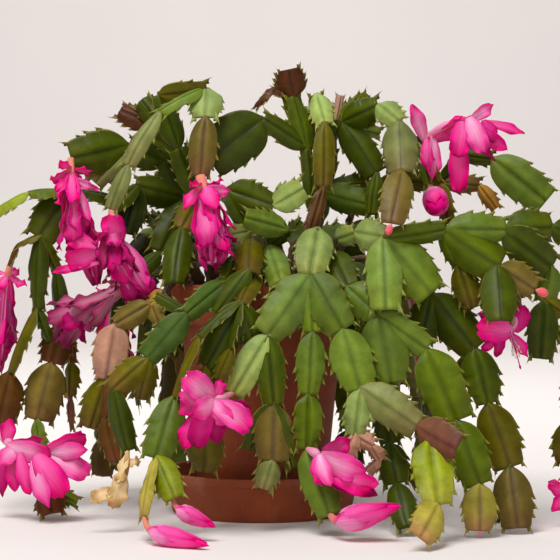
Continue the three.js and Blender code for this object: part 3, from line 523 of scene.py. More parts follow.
# In reaches of the claw: how far its root is sunk in and set back, and its knee out and forward.
CLAW_SUNK = 0.45
CLAW_BACK = 0.5
CLAW_KNEE_OUT = 0.8
CLAW_KNEE_FORWARD = 0.35
CLAW_REACHES = (0.6, 1.25)
CLAW_LEANS = (1.0, 1.7)
# The two horns at a segment's apex are its longest claws.
HORN_SCALE = 1.5
HORN_LEANS = (1.6, 2.4)
# Tones over a segment: how far the tip's, the midrib's, the margin's and the neck's reach, and how
# strong they are.
RIPE_REACH = (0.45, 1.0)
RIPE_RANGE = (0.1, 1.0)
# Painted highlight along the ridges beside the midrib, and painted shade towards the tip, with the reach
# of that shade.
PAINTED_RIDGE_HIGHLIGHT = 0.3
TIP_SHADE = 0.12
TIP_SHADE_REACH = (0.55, 0.9)
RIB_HALF_WIDTH = 0.1
RIB_REACH = (0, 0.3)
RIB_RANGE = (0.3, 0.75)
RIM_REACH = (0.93, 1.0)
RIM_RANGE = (0.3, 0.85)
CORK_REACH = (0.0, 0.05)
CORK_SHARE = 0.6
# The woody stalk of a stem, from its hole in the soil.
STALK_RADIUS = 2.6
STALK_FOOT = 144.3
STALK_COLLAR = 160.0
STALK_SINK = 3
STALK_ROWS = 24
STALK_SIDES = 12
STALK_TAPER = 0.75
STALK_BUMPS = 0.14
STALK_BUMP_PITCH = 1.9
STALK_BUMP_STARTS = (0, 6)
STALK_GROOVES = 0.08

# Petals, in mm and in shares of a petal's length or half width.
PETAL_ACROSS = np.array([0.0, 0.28, 0.58, 0.85, 1.0])
PETAL_ROWS = 17
# Half width along a petal, from its root to its end. The wide ones are blunt.
PETAL_POINTED = (
    [0, 0.1, 0.3, 0.5, 0.68, 0.82, 0.93, 1],
    [0.34, 0.52, 0.82, 1, 0.96, 0.72, 0.36, 0.05],
)
PETAL_BLUNT = (
    [0, 0.1, 0.3, 0.52, 0.72, 0.87, 0.95, 1],
    [0.34, 0.55, 0.84, 1, 1, 0.88, 0.66, 0.34],
)
BLUNT_WIDTH = 14.5
# A petal is a trough, ragged at a blunt end, rippled at its edges and creased along its length.
TROUGH_RANGE = (-0.05, 0.22)
RAGGED_END = 0.035
RAGS = 10
RAGGED_REACH = (0.7, 1.0)
RIPPLES = 2.3
RIPPLE_OFFSET = 1.3
RUFFLE_REACH = (0.25, 0.8)
CREASE_HEIGHT = 0.4
CREASES = 8
CREASE_REACH = (0, 0.3)
TIP_REACH = (0.6, 1.0)
TIP_RANGE = (0.5, 1)
PETAL_LIGHTNESS = (0.88, 1.06)
# How much of its blade's colour a petal has at its heart, and how much more at its edge and end.
HEART_SHARE = 0.1
EDGE_SHARE = 0.8
EDGE_POWER = 1.5
END_SHARE = 0.75
END_POWER = 1.3
# Radius along a bloom's tube, as a share of its girth. An open bloom's tube is a part of its axis.
BLOOM_TUBE = ([0, 0.12, 0.3, 0.5, 0.75, 1], [0.3, 0.34, 0.42, 0.5, 0.56, 0.3])
TUBE_ROWS = 17
TUBE_SIDES = 14
OPEN_TUBE = 0.6
TUBE_BLEND = (0.05, 0.45)
RING_SEAT = 0.24
# Rings of petals: where on the axis, how many, length, width, lift and curl in degrees, turn, tone.
PETAL_RINGS = {
    "open": [
        (0.3, 4, 17, 9, 62, 66, 20, "bright"),
        (0.42, 4, 27, 14, 54, 62, 0, "bright"),
        (0.8, 4, 36, 19, 52, 58, 5, "pale"),
        (0.9, 5, 39, 20, 36, 44, 30, "bright"),
    ],
    "wilted": [
        (0.1, 4, 17, 9, 50, 58, 20, "bright"),
        (0.14, 5, 40, 14, 15, -2, 50, "bright"),
        (0.3, 6, 42, 16, 13, 0, 80, "furled"),
        (0.44, 6, 36, 15, 14, 4, 30, "bright"),
    ],
    "hanging": [
        (0.3, 5, 38, 14, 14, -2, 50, "furled"),
        (0.46, 6, 32, 14, 16, 0, 20, "deep"),
    ],
    "withered": [
        (0.12, 4, 18, 8, 40, 60, 20, "dusty"),
        (0.25, 4, 38, 13, 20, 2, 50, "dusty"),
        (0.4, 5, 42, 17, 16, 2, 80, "dusty"),
        (0.62, 4, 26, 16, 24, 30, 10, "deep"),
    ],
}
# What differs from one petal of a ring to the next, the angles in degrees.
RING_TURNS = (-9, 9)
RING_LENGTHS = (0.85, 1.1)
RING_WIDTHS = (0.9, 1.1)
RING_LIFTS = (-8, 8)
RING_CURLS = (-12, 12)
# Filaments, whose spreads and lengths are shares of the style's reach, and the style.
FILAMENTS = 14
FILAMENT_SPREADS = (0.06, 0.22)
FILAMENT_LENGTHS = (0.5, 0.75)
FILAMENT_SEAT = 0.8
FILAMENT_RADIUS = 0.22
FILAMENT_COLOUR = "#F3C9DA"
ANTHER_SIZE = 0.9
ANTHER_COLOUR = "#EFE3B4"
STYLE_ARCH = 2
STYLE_RADIUS = 0.45
STYLE_COLOUR = "#D01A7E"
STIGMA_SIZE = 1.5
STIGMA_COLOUR = "#C1156F"
THREAD_ROWS = 9
THREAD_SIDES = 6
THREAD_END = np.array([-0.9, -0.5, 0.2, 0.9, 1.3])
THREAD_END_RADII = np.array([0.2, 0.5, 0.6, 0.4, 0.1])
# Petal colours at the heart, over the blade and at the tip. Pale partly paints a highlight on petals that
# face the light, next to the petals' own paler heart. Deep paints shade on the petals that face down and
# lie in shade, and in the rings of wilted blooms it is their darker magenta.
PETAL_COLOURS = {
    "pale": ("#FFC2E0", "#FA45A2", "#F00C84"),
    "bright": ("#FC76B8", "#F80D8A", "#E2066E"),
    "deep": ("#DC3A92", "#BE0565", "#920448"),
    "furled": ("#F58CC0", "#E01A84", "#A80E58"),
    "dusty": ("#F2AFC2", "#BC3472", "#6A1434"),
    "dried": ("#F0D9AC", "#DFB87E", "#B88A50"),
}
PETAL_RUFFLES = {"bright": 1.4, "pale": 1.4, "furled": 1.9, "dusty": 2.4, "dried": 2.8}
# The collapsed petals of a wilted bloom hang as one pleated skirt: radius along the axis.
SKIRT_RADII = ([0.0, 0.08, 0.2, 0.4, 0.6, 0.8, 0.92, 1.0], [0.3, 0.42, 0.5, 0.58, 0.68, 0.76, 0.74, 0.45])
SKIRT_START = 0.16
SKIRT_ROWS = 30
SKIRT_SIDES = 54
SKIRT_TONES = {"wilted": "furled", "hanging": "furled", "withered": "dusty"}
# Its pleats and the broad folds under them, which deepen down the skirt, and its uneven hem.
PLEATS = 11
PLEAT_TWIST = 0.8
PLEAT_WANDER = 0.9
BROAD_FOLDS = 5
BROAD_FOLD_SHARE = 0.5
FOLD_DEPTHS = (0.04, 0.17)
FOLD_REACH = (0.05, 0.7)
SKIRT_FLAT = 0.14
HEM_WAVES = ((3.5, 4), (2.5, 7))
HEM_REACH = (0.6, 1.0)
HEM_TONE = 0.85
HEM_TONE_REACH = (0.7, 1.0)
# How much of its blade's colour a skirt has, how much less on its crests and more at its hem. The paler
# crests and the darker folds are painted highlight and painted shade.
SKIRT_BLADE = 0.35
PLEAT_HIGHLIGHT_AND_SHADE = 0.42
SKIRT_DOWN = 0.5

# Petals placed one by one, as the eye sees them: from a joint (u, w, depth) to a joint, width, bow
# towards the eye, roll and tone.
# Their tones are partly painted light: pale petals carry a painted highlight, and deep ones painted shade.
SET_PETALS = {
    "front_left": [
        ((-38, 84, -122), (-58, 101, -130), 19, 7, 10, "pale"),
        ((-40, 83, -121), (-63, 87, -126), 14, 6, 15, "pale"),
        ((-42, 81, -119), (-63, 73, -122), 14, 5, 30, "bright"),
        ((-36, 83, -124), (-52, 73, -139), 16, 8, -20, "pale"),
        ((-38, 85, -119), (-30, 98, -116), 10, 4, 20, "bright"),
        ((-38, 81, -124), (-10, 60, -137), 18, 8, -25, "pale"),
        ((-34, 80, -119), (-6, 68, -120), 14, -4, -30, "bright"),
        ((-32, 79, -115), (-8, 78, -111), 9, -3, 25, "deep"),
        ((-42, 78, -121), (-60, 48, -124), 15, 6, 20, "bright"),
        ((-40, 78, -124), (-50, 48, -133), 16, 7, 5, "deep"),
        ((-38, 77, -120), (-34, 50, -122), 14, 6, -15, "deep"),
        ((-37, 82, -124), (-24, 66, -134), 15, 8, 15, "pale"),
    ],
    "front_right": [
        ((41, 42, -126), (45, 18, -134), 10, 4, 30, "bright"),
        ((43, 42, -128), (52, 18, -142), 12, 6, 15, "pale"),
        ((44, 41, -127), (77, 28, -146), 19, 8, 15, "pale"),
        ((44, 37, -126), (81, 15, -144), 19, 7, -5, "bright"),
        ((46, 32, -124), (68, 12, -138), 13, 4, -25, "deep"),
        ((60, 27, -138), (88, 20, -146), 13, 5, 20, "bright"),
        ((60, 23, -134), (87, 11, -142), 11, 4, -10, "deep"),
        ((46, 44, -122), (67, 53, -124), 13, 6, 10, "bright"),
    ],
    "low_left": [
        ((-163, 45, -50), (-133, 56, -52), 17, 8, 20, "bright"),
        ((-160, 43, -50), (-131, 46, -62), 14, 6, -5, "pale"),
        ((-159, 41, -52), (-131, 26, -58), 18, 8, -20, "pale"),
        ((-170, 42, -56), (-149, 11, -68), 20, 9, -10, "bright"),
        ((-172, 38, -56), (-160, 2, -74), 14, 7, 10, "pale"),
        ((-182, 43, -50), (-174, 12, -60), 14, 6, 20, "bright"),
        ((-190, 42, -42), (-186, 14, -48), 12, 5, -20, "bright"),
        ((-194, 40, -36), (-195, 10, -40), 11, 5, 20, "deep"),
        ((-188, 52, -40), (-163, 55, -38), 12, 6, 35, "bright"),
        ((-192, 50, -34), (-190, 69, -30), 12, 4, 10, "bright"),
        ((-184, 48, -42), (-197, 34, -52), 14, 5, 10, "pale"),
        ((-191, 49, -44), (-160, 41, -54), 16, 4, 5, "pale"),
    ],
    "top_right": [
        ((122, 277, -16), (112, 305, -22), 12, 3, 10, "pale"),
        ((121, 279, -15), (158, 294, -32), 11, 3, 0, "pale"),
        ((122, 277, -15), (156, 290, -30), 11, 3, 50, "bright"),
        ((123, 280, -13), (157, 296, -28), 10, 3, -50, "bright"),
        ((156, 293, -32), (173, 305, -30), 10, 3, 10, "pale"),
        ((166, 293, -34), (174, 276, -44), 11, 4, -10, "deep"),
        ((168, 292, -34), (197, 283, -40), 8, 3, -10, "bright"),
        ((160, 288, -34), (184, 271, -42), 13, 5, 15, "bright"),
        ((155, 295, -34), (166, 269, -46), 16, 7, 10, "pale"),
        ((150, 292, -34), (146, 266, -44), 16, 7, -5, "bright"),
        ((148, 286, -30), (148, 239, -38), 15, 5, 10, "bright"),
        ((123, 279, -18), (125, 254, -28), 10, 3, 20, "bright"),
        ((128, 282, -20), (127, 247, -26), 12, 3, -25, "pale"),
        ((158, 286, -32), (175, 262, -34), 6, 2, 30, "deep"),
        ((132, 284, -22), (150, 296, -34), 6, 4, 30, "bright"),
    ],
    "right": [
        ((190, 137, -92), (162, 137, -104), 19, 8, -10, "bright"),
        ((190, 134, -88), (196, 154, -86), 15, 4, 15, "deep"),
        ((185, 134, -92), (200, 115, -98), 9, 4, -15, "bright"),
        ((180, 142, -88), (161, 148, -92), 8, 3, 25, "deep"),
        ((182, 132, -90), (176, 115, -92), 8, 3, 25, "deep"),
        ((176, 128, -86), (165, 120, -84), 7, 3, 10, "deep"),
    ],
    "drooping_left": [
        ((-108, 198, -38), (-114, 222, -40), 18, 6, 10, "bright"),
        ((-124, 196, -30), (-146, 206, -30), 15, 6, 20, "bright"),
        ((-124, 194, -32), (-147, 188, -34), 16, 6, -15, "bright"),
        ((-122, 186, -34), (-158, 179, -32), 7, 3, 10, "bright"),
        ((-112, 207, -34), (-100, 172, -46), 18, 7, 20, "bright"),
        ((-106, 202, -36), (-88, 168, -44), 16, 6, -15, "pale"),
        ((-102, 178, -40), (-68, 159, -36), 11, 4, 35, "deep"),
        ((-102, 182, -38), (-82, 164, -44), 15, 5, -20, "deep"),
        ((-104, 174, -38), (-94, 158, -42), 13, 4, 10, "deep"),
        ((-98, 172, -38), (-86, 180, -38), 7, 3, 10, "deep"),
    ],
    "long_left": [
        ((-143, 250, -8), (-155, 239, -14), 8, 4, 10, "bright"),
        ((-142, 250, -10), (-122, 241, -14), 7, 4, 15, "pale"),
        ((-142, 249, -12), (-139, 205, -26), 13, 5, 15, "bright"),
        ((-141, 246, -14), (-130, 213, -28), 11, 4, -20, "pale"),
    ],
    "dried_left": [
        ((-101, 42, -104), (-107, 20, -110), 9, 3, 30, "dried"),
        ((-105, 28, -106), (-112, 2, -112), 15, 5, -20, "dried"),
        ((-107, 16, -108), (-131, 7, -112), 10, 4, 20, "dried"),
        ((-103, 34, -104), (-91, 37, -106), 7, 3, -30, "dried"),
    ],
    "hanging_top": [
        ((-45, 242, -55), (-59, 226, -62), 10, 6, 25, "bright"),
        ((-44, 242, -55), (-23, 240, -60), 10, 6, 20, "pale"),
        ((-44, 243, -56), (-34, 226, -74), 14, 6, -10, "bright"),
    ],
}
TUBE_COLOURS = ("#E58C76", "#F09ABC")
BUD_SPINDLE = (
    [0, 0.1, 0.2, 0.27, 0.35, 0.48, 0.62, 0.8, 0.92, 1],
    [0.24, 0.28, 0.34, 0.5, 0.82, 1, 0.94, 0.6, 0.3, 0.04],
)
BUD_ROUND = (
    [0, 0.1, 0.2, 0.35, 0.55, 0.75, 0.9, 0.97, 1],
    [0.22, 0.34, 0.6, 0.92, 1, 0.94, 0.66, 0.36, 0.06],
)
# Petals laid over a bud, the inner ones first: shares of its length, how many, turn and tone.
BUD_SCALES = [
    (0.42, 0.97, 3, 20, "bright"),
    (0.32, 0.86, 3, 80, "bright"),
    (0.24, 0.66, 3, 140, "pale"),
]
# A bud stands a little off its joint, and its peach neck blends into its magenta petals.
BUD_ROWS = 33
BUD_SIDES = 30
BUD_LIFT = 0.6
BUD_BLEND = (0.14, 0.32)
GROWN_BUD = 4
YOUNG_BUD_COLOUR = "#EE6A74"
SCALE_ROWS = 12
SCALE_COLUMNS = 9
SCALE_WIDTHS = ([0, 0.3, 0.6, 0.85, 1], [0.63, 1.09, 0.98, 0.58, 0.05])
SCALE_TURNS = (-0.15, 0.15)
SCALE_LIGHTNESS = (0.9, 1.08)
# How much of its blade's colour a scale has at its root, and how much more at its edge and end.
SCALE_HEART = 0.35
SCALE_EDGE = 0.5
SCALE_END = 0.4
# Heights over the bud, in mm: the scale's outside and inside, how much thinner its edge is, and how
# its root is sunk and its blade raised.
SCALE_OUTSIDE = 0.5
SCALE_INSIDE = -0.3
SCALE_THINNING = 0.6
SCALE_ROOT = -0.5
SCALE_RISE = 0.75
SCALE_RISE_REACH = (0.0, 0.25)

# Pot, saucer and soil: profiles of radius and height, turned about the pot's axis.
POT_WALL = [
    (6, 12.3), (6, 5.3), (47, 5.3), (60.5, 141.5), (66.5, 141.5), (69, 169.8), (67.8, 171),
    (64, 171), (62, 143.5), (55.5, 137.5), (42, 12.3), (6, 12.3),
]
SAUCER_DISH = [(0.5, 0), (67, 0), (72.4, 26), (74.6, 26), (75, 32), (70.5, 32), (62.5, 5), (0.5, 5)]
TURNED_SIDES = 144
ROUND_STEPS = 5
ROUND_LIMIT = 0.45
POT_WOBBLE = 0.0015
SAUCER_WOBBLE = 0.0012
PLAIN_TONE = (1, 1, 1)
SOIL_SIDE = [(0.5, 12.8), (41.4, 12.8), (54.9, 137.8), (61.4, 143.8), (62.4, 157)]
SOIL_TOP = 158
SOIL_RINGS = (61.5, 58, 52, 45, 38, 31, 24, 17, 10, 4, 0.5)
SOIL_SIDES = 96
SOIL_CRUMB = 0.8
# Stones and bark on the soil. Each has five rings along its length, rough in their radii.
GRIT_COUNT = 170
GRIT_REACH = 60
GRIT_MIDDLE = 0.02
GRIT_SIZES = (0.8, 2.3)
GRIT_HEIGHT = 0.3
GRIT_ALONG = np.array([-1, -0.6, 0, 0.6, 1])
GRIT_RADII = np.array([0.25, 0.7, 0.85, 0.6, 0.2])
GRIT_ROUGHNESS = (0.8, 1.2)
GRIT_SIDES = 7
STONE_EVERY = 6
STONE_COLOUR = "#B9AE9C"
BARK_COLOUR = "#6A4A2E"
BARK_LIGHTNESS = (0.5, 1.2)

# Grain of the materials, in mm. The clay's own grain is finer, and is drawn as coarse as it shows.
SKIN_PATCH = 11
SKIN_PORE = 1.1
SKIN_DIMPLE = 2.6
BARK_PATCH = 2.2
BARK_RIDGE = 1.4
CLAY_PATCH = 22
CLAY_GROG = 1.3
CLAY_LIME = 34
CLAY_GRAIN = 0.8
TURNING_LINE = 1.6
SOIL_PATCH = 2.5
SOIL_GRAIN = 1.8
PAPER_PATCH = 300
LIME_COLOUR = "#B98A70"

# Stage, in m: the paper's line from the front over the floor and up behind, and its half width.
PAPER_BEND_START = 2.2
PAPER_BEND_RADIUS = 0.8
PAPER_BEND_STEPS = 17
PAPER_FRONT = -3.5
PAPER_TOP = 3.2
PAPER_HALF_WIDTH = 4.5
SKY_COLOUR = "#F2F2F3"
# Lights: name, place, size and the point that it shines at. The photograph's light comes from the
# upper left and front, and its paper is lit behind the plant.
LIGHTS = (
    ("key", (-0.5, -0.9, 2.1), 1.2, (0.0, 0.0, 0.17)),
    ("fill", (0.4, -2.4, 0.9), 1.6, (0.0, 0.0, 0.17)),
    ("paper", (0.0, 0.9, 1.6), 1.5, (0.0, 2.6, 0.17)),
)
# The photograph's middle, and how much of the plane through the pot's axis its frame takes in.
VIEW_MIDDLE = (0.0135, 0.0, 0.17325)
VIEW_WIDTH = 0.42
SENSOR_WIDTH = 36.0


def linear(hex_colour):
    """A colour's linear light, from its sRGB hex value."""
    values = np.array([int(hex_colour[i : i + 2], 16) / 255 for i in (1, 3, 5)])
    return np.where(values <= 0.04045, values / 12.92, ((values + 0.055) / 1.055) ** 2.4)


def blend(first, second, share):
    """The first value where the share is 0, the second where it is 1."""
    return first * (1 - share) + second * share


def smooth_step(low, high, value):
    """Rises smoothly from 0 at the low value to 1 at the high one."""
    t = np.clip((value - low) / (high - low), 0, 1)
    return t * t * (3 - 2 * t)


def unit(vector):
    """A vector, or each vector of an array, brought to length 1."""
    return vector / np.linalg.norm(vector, axis=-1, keepdims=True)


def round_angles(count):
    """Evenly spread angles round a full turn."""
    return 2 * math.pi * np.arange(count) / count


def seen(joint):
    """The place in mm of a joint (u, w, depth)."""
    u, w, depth = joint[:3]
    scale = (EYE_DISTANCE + depth) / EYE_DISTANCE
    return np.array([u * scale, depth, EYE_HEIGHT + (w - EYE_HEIGHT) * scale])


def turned_about(vector, axis, degrees):
    """A vector turned about an axis of length 1."""
    angle = math.radians(degrees)
    across = np.cross(axis, vector)
    along = axis * np.dot(axis, vector) * (1 - math.cos(angle))
    return vector * math.cos(angle) + across * math.sin(angle) + along


def side_of(direction, facing, roll=0.0):
    """The unit vector across a piece that faces the given way as far as it can, then rolls."""
    front = facing - direction * np.dot(facing, direction)
    if np.linalg.norm(front) < END_ON:
        front = np.array([0.0, 0.0, 1.0]) - direction * direction[2]
    return turned_about(unit(np.cross(direction, unit(front))), direction, roll)


def right_and_up(heading, facing=EYE_SIDE):
    """The two unit vectors that a ring across the heading is drawn on."""
    right = side_of(heading, facing)
    return right, np.cross(right, heading)


def bent(start, knee, end, t):
    """Points at the shares t of a curve that leaves its start towards a knee, and its headings."""
    points = start * (1 - t) ** 2 + 2 * knee * t * (1 - t) + end * t**2
    return points, unit(2 * (knee - start) * (1 - t) + 2 * (end - knee) * t)


def smooth_path(points, shares):
    """Points and headings at shares of the length of a centripetal Catmull-Rom curve."""
    points = [np.asarray(p, float) for p in points]
    ends = [2 * points[0] - points[1], *points, 2 * points[-1] - points[-2]]
    marks = np.cumsum([0, *(np.linalg.norm(b - a) for a, b in zip(points, points[1:]))])
    shortest = 1e-4
    step = 1e-3

    def at(share):
        place = np.interp(share, marks / marks[-1], np.arange(len(points)))
        k = min(int(place), len(points) - 2)
        t = place - k
        p0, p1, p2, p3 = ends[k : k + 4]
        pairs = ((p0, p1), (p1, p2), (p2, p3))
        d0, d1, d2 = (max(np.linalg.norm(b - a), shortest) ** 0.5 for a, b in pairs)
        m1 = ((p1 - p0) / d0 - (p2 - p0) / (d0 + d1) + (p2 - p1) / d1) * d1
        m2 = ((p2 - p1) / d1 - (p3 - p1) / (d1 + d2) + (p3 - p2) / d2) * d1
        cubic = 2 * p1 - 2 * p2 + m1 + m2
        square = -3 * p1 + 3 * p2 - 2 * m1 - m2
        return p1 + t * (m1 + t * (square + t * cubic))

    places = np.array([at(s) for s in shares])
    return places, unit(np.array([at(s + step) - at(s - step) for s in shares]))


def rings_along(places, headings, radii, sides, facing=EYE_SIDE):
    """Round rings across a path."""
    angles = round_angles(sides)[:, None]
    rings = []
    for place, heading, radius in zip(places, headings, radii):
        right, up = right_and_up(heading, facing)
        circle = np.cos(angles) * up + np.sin(angles) * right
        rings.append(place + circle * np.reshape(radius, (-1, 1)))
    return np.array(rings)


class Shape:
    """Closed surfaces of one piece in mm, with a tone and a place for each point."""

    def __init__(self):
        self.points = []
        self.faces = []
        self.tones = []
        self.places = []
        self.finishes = []
        self.count = 0

    def loft(self, rings, tones, places=(0, 0, 0), finish=0, closed=False):
        """A tube through rings of points, with a face over each end unless the rings close. The
        places are what a material's pattern follows: shares along and across, and a seed."""
        rows, corners = rings.shape[:2]
        index = np.arange(rows * corners).reshape(rows, corners)
        after = np.roll(index, -1, axis=1)
        if closed:
            index = np.vstack([index, index[:1]])
            after = np.vstack([after, after[:1]])
        quads = np.stack([index[:-1], after[:-1], after[1:], index[1:]], axis=-1).reshape(-1, 4)
        flat = rings.reshape(-1, 3)
        a, b, c, d = (flat[quads[:, k]] - flat.mean(0) for k in range(4))
        if (np.cross(c - a, d - b) * (a + b + c + d)).sum() < 0:
            quads = quads[:, ::-1]
        faces = quads.tolist()
        if not closed:
            turned = quads[0][0] == index[0][0]
            first, last = index[0].tolist(), index[-1].tolist()
            faces += [first[::-1], last] if turned else [first, last[::-1]]
        self.faces += [[k + self.count for k in face] for face in faces]
        self.finishes += [finish] * len(faces)
        self.points.append(flat)
        shape = (rows, corners, 3)
        places = np.stack(np.broadcast_arrays(*places), -1)
        self.tones.append(np.broadcast_to(tones, shape).reshape(-1, 3))
        self.places.append(np.broadcast_to(places, shape).reshape(-1, 3))
        self.count += rows * corners

    def piece(self, name, materials, nodes, slot):
        """Makes the mesh object, which rides on the part in place of its CAD nodes."""
        mesh = bpy.data.meshes.new(name)
        points = np.vstack(self.points)
        # A claw or petal that would dip into the table bends flat on it.
        points[:, 2] = np.maximum(points[:, 2], 0)
        mesh.from_pydata((points * MM).tolist(), [], self.faces)
        tone = mesh.attributes.new("tone", "FLOAT_COLOR", "POINT")
        colours = np.hstack([np.vstack(self.tones), np.ones((self.count, 1))])
        tone.data.foreach_set("color", colours.astype(np.float32).ravel())
        place = mesh.attributes.new("place", "FLOAT_VECTOR", "POINT")
        place.data.foreach_set("vector", np.vstack(self.places).astype(np.float32).ravel())
        mesh.polygons.foreach_set("use_smooth", [True] * len(mesh.polygons))
        mesh.polygons.foreach_set("material_index", self.finishes)
        for material in materials:
            mesh.materials.append(material)
        mesh.update()
        made = bpy.data.objects.new(name, mesh)
        bpy.context.scene.collection.objects.link(made)
        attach(made, "root")
        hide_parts(*nodes)


def skin_tones(tone, along, across, rng):
    """Colours over a segment: darker at the midrib, thin pale margin, corky neck, ripening tip, a painted
    highlight on the ridges and painted shade towards the tip.
    """
    body, tip, rib = (linear(colour) for colour in TONES[tone])
    across = np.abs(across)
    ripe = smooth_step(*RIPE_REACH, along) * rng.uniform(*RIPE_RANGE)
    colour = blend(body, tip, ripe[..., None]) * rng.uniform(*LIGHTNESS_RANGE)
    # The ridges get a painted highlight, and the tip gets painted shade.
    ridges = np.exp(-(((across - RIDGE_PLACE) / RIDGE_SPREAD) ** 2))
    shade = 1 + PAINTED_RIDGE_HIGHLIGHT * ridges - TIP_SHADE * smooth_step(*TIP_SHADE_REACH, along)
    crest = np.exp(-((across / RIB_HALF_WIDTH) ** 2)) * smooth_step(*RIB_REACH, along)
    crest = crest * rng.uniform(*RIB_RANGE)
    rim = smooth_step(*RIM_REACH, across) * rng.uniform(*RIM_RANGE)
    cork = (1 - smooth_step(*CORK_REACH, along)) * CORK_SHARE
    colour = blend(colour * shade[..., None], rib, crest[..., None])
    colour = blend(colour, linear(MARGIN_TONE), rim[..., None])
    return blend(colour, linear(CORK_TONE), cork[..., None])


class Spine:
    """The bent middle line of a segment, with the ways across it and out of its face."""

    def __init__(self, start, end, side, twist):
        length = np.linalg.norm(end - start)
        direction = (end - start) / length
        self.start, self.end, self.side = start, end, side
        self.middle = (start + end) / 2 + np.cross(side, direction) * 2 * BEND * length
        self.twist = math.radians(twist)

    def at(self, t):
        """Points, tangents, sides and normals at the shares t, which has a last axis of one."""
        point, tangent = bent(self.start, self.middle, self.end, t)
        normal = unit(np.cross(self.side, tangent))
        side = np.cross(tangent, normal)
        turn = self.twist * (t - TWIST_PIVOT)
        turned_side = side * np.cos(turn) + normal * np.sin(turn)
        return point, tangent, turned_side, np.cross(turned_side, tangent)


def add_claw(shape, margin_point, out, tangent, normal, reach, lean, tones):
    """A flat, pointed tooth that leaves a margin outwards and hooks forward along the tangent."""
    root = margin_point - (out * CLAW_SUNK + tangent * CLAW_BACK) * reach
    knee = root + (out * CLAW_KNEE_OUT + tangent * CLAW_KNEE_FORWARD) * reach
    tip = root + (out + tangent * lean) * reach
    centres, _ = bent(root, knee, tip, CLAW_STEPS[:, None])
    angles = round_angles(CLAW_SIDES)[:, None]
    across = reach * CLAW_HALVES[:, None, None] * tangent * np.cos(angles)
    through = CLAW_FLATS[:, None, None] * normal * np.sin(angles)
    shape.loft(centres[:, None] + across + through, tones[:, None])


def margin(t, claws, rng):
    """Half widths of one side at the shares t, with a step behind each claw."""
    end = np.clip((t - TAPER_START) / (1 - TAPER_START), 0, 1)
    width = np.interp(t, *OUTLINE) * (1 - rng.uniform(*TAPER_RANGE) * end**2)
    for place, gap in zip(claws, np.diff([*claws, 1.0])):
        behind = np.clip(1 - (t - place) / gap, 0, 1) * (t > place)
        width = width - rng.uniform(*STEP_RANGE) * behind
    return width


def segment_relief(columns, faces, s, t, width, plant, rng):
    """How far each point stands out from the spine, with the cup, the fold and a seed."""
    share = np.abs(columns)
    body = smooth_step(*BODY_REACH, t)
    phase = rng.uniform(0, 2 * math.pi, 3)
    thick = plant.segment_thickness / MM * np.sqrt(np.clip(FULLNESS - share**2, 0, 1)) / 2
    ridges = plant.ridge_height / MM * rng.uniform(*RIDGE_RANGE)
    ridges = ridges * np.exp(-(((share - RIDGE_PLACE) / RIDGE_SPREAD) ** 2))
    groove = np.where(faces > 0, GROOVE_FRONT, -GROOVE_BACK)
    groove = groove * np.exp(-((share / GROOVE_SPREAD) ** 2))
    cup = rng.uniform(*CUP_RANGE)
    fold = rng.uniform(*FOLD_RANGE)
    wave = plant.segment_wave / MM * rng.uniform(*WAVE_RANGE) * body
    depth = faces * thick + (ridges - groove) * body - cup * width * s * s
    depth = depth - fold * width * np.abs(s) * smooth_step(*FOLD_EASE, np.abs(s)) * body
    depth = depth + wave * s * np.sin(2 * math.pi * LONG_WAVES * t + phase[1])
    rim = np.sin(2 * math.pi * RIM_WAVES * t + phase[2] + columns)
    return depth + RIM_WAVE_SHARE * wave * share**4 * rim, cup, fold, phase[2]


def add_segment(shape, segment, plant, rng):
    """A flat stem segment on its bent spine, with ridges beside its midrib and claws on its margin."""
    start = segment["from"] - segment["direction"] * SINK / 2
    end, side, width, tone = (segment[key] for key in ("to", "side", "width", "tone"))
    spine = Spine(start, end, side, rng.uniform(*TWIST_RANGE))
    columns = np.concatenate([-FRONT[:0:-1], FRONT, BACK, -BACK[::-1]])
    faces = np.concatenate([np.ones(2 * len(FRONT) - 1), -np.ones(2 * len(BACK))])
    claws = CLAWS_SLENDER if width < SLENDER_WIDTH else CLAWS_WIDE
    claws = [place + rng.uniform(*CLAW_SHIFTS) for place in claws]
    steps = [place + step for place in claws for step in (0, STEP_LENGTH)]
    clear = [t for t in ALONG if min(abs(t - claw) for claw in claws) > CLAW_CLEARANCE]
    rows = np.array(sorted(clear + steps))
    t = rows[:, None]
    halves = {hand: np.maximum(margin(rows, claws, rng), 2 * NECK / width) for hand in (-1, 1)}
    shifts = {hand: rng.uniform(*MARGIN_SHIFTS) for hand in (-1, 1)}
    right = columns > 0
    s = columns * np.where(right, halves[1][:, None], halves[-1][:, None])
    shift = np.where(right, shifts[1], shifts[-1]) * columns**4
    shift = shift * smooth_step(*SHIFT_START, t) * (1 - smooth_step(*SHIFT_END, t))
    depth, cup, fold, seed = segment_relief(columns, faces, s, t, width, plant, rng)
    point, _, across, normal = spine.at((t + shift)[..., None])
    point = point + across * (s * width / 2)[..., None] + normal * depth[..., None]
    along, span = np.broadcast_arrays(t, columns)
    shape.loft(point, skin_tones(tone, along, span, rng), (along, span, seed))

    tones = blend(linear(TONES[tone][0]), linear(MARGIN_TONE), CLAW_FADES[:, None])
    for hand in (-1, 1):
        for place in (*claws, 1.0):
            horn = place == 1.0
            half = halves[hand][np.searchsorted(rows, place)]
            drop = spine.at(np.array([place]))[3] * width * (cup * half + fold) * half
            reach = plant.claw_reach / MM * rng.uniform(*CLAW_REACHES) * (HORN_SCALE if horn else 1)
            lean = rng.uniform(*(HORN_LEANS if horn else CLAW_LEANS))
            seat = place if horn else place + shifts[hand]
            middle, tangent, across, normal = spine.at(np.array([seat]))
            out = across * hand
            margin_point = middle - drop + out * half * width / 2
            add_claw(shape, margin_point, out, tangent, normal, reach, lean, tones)


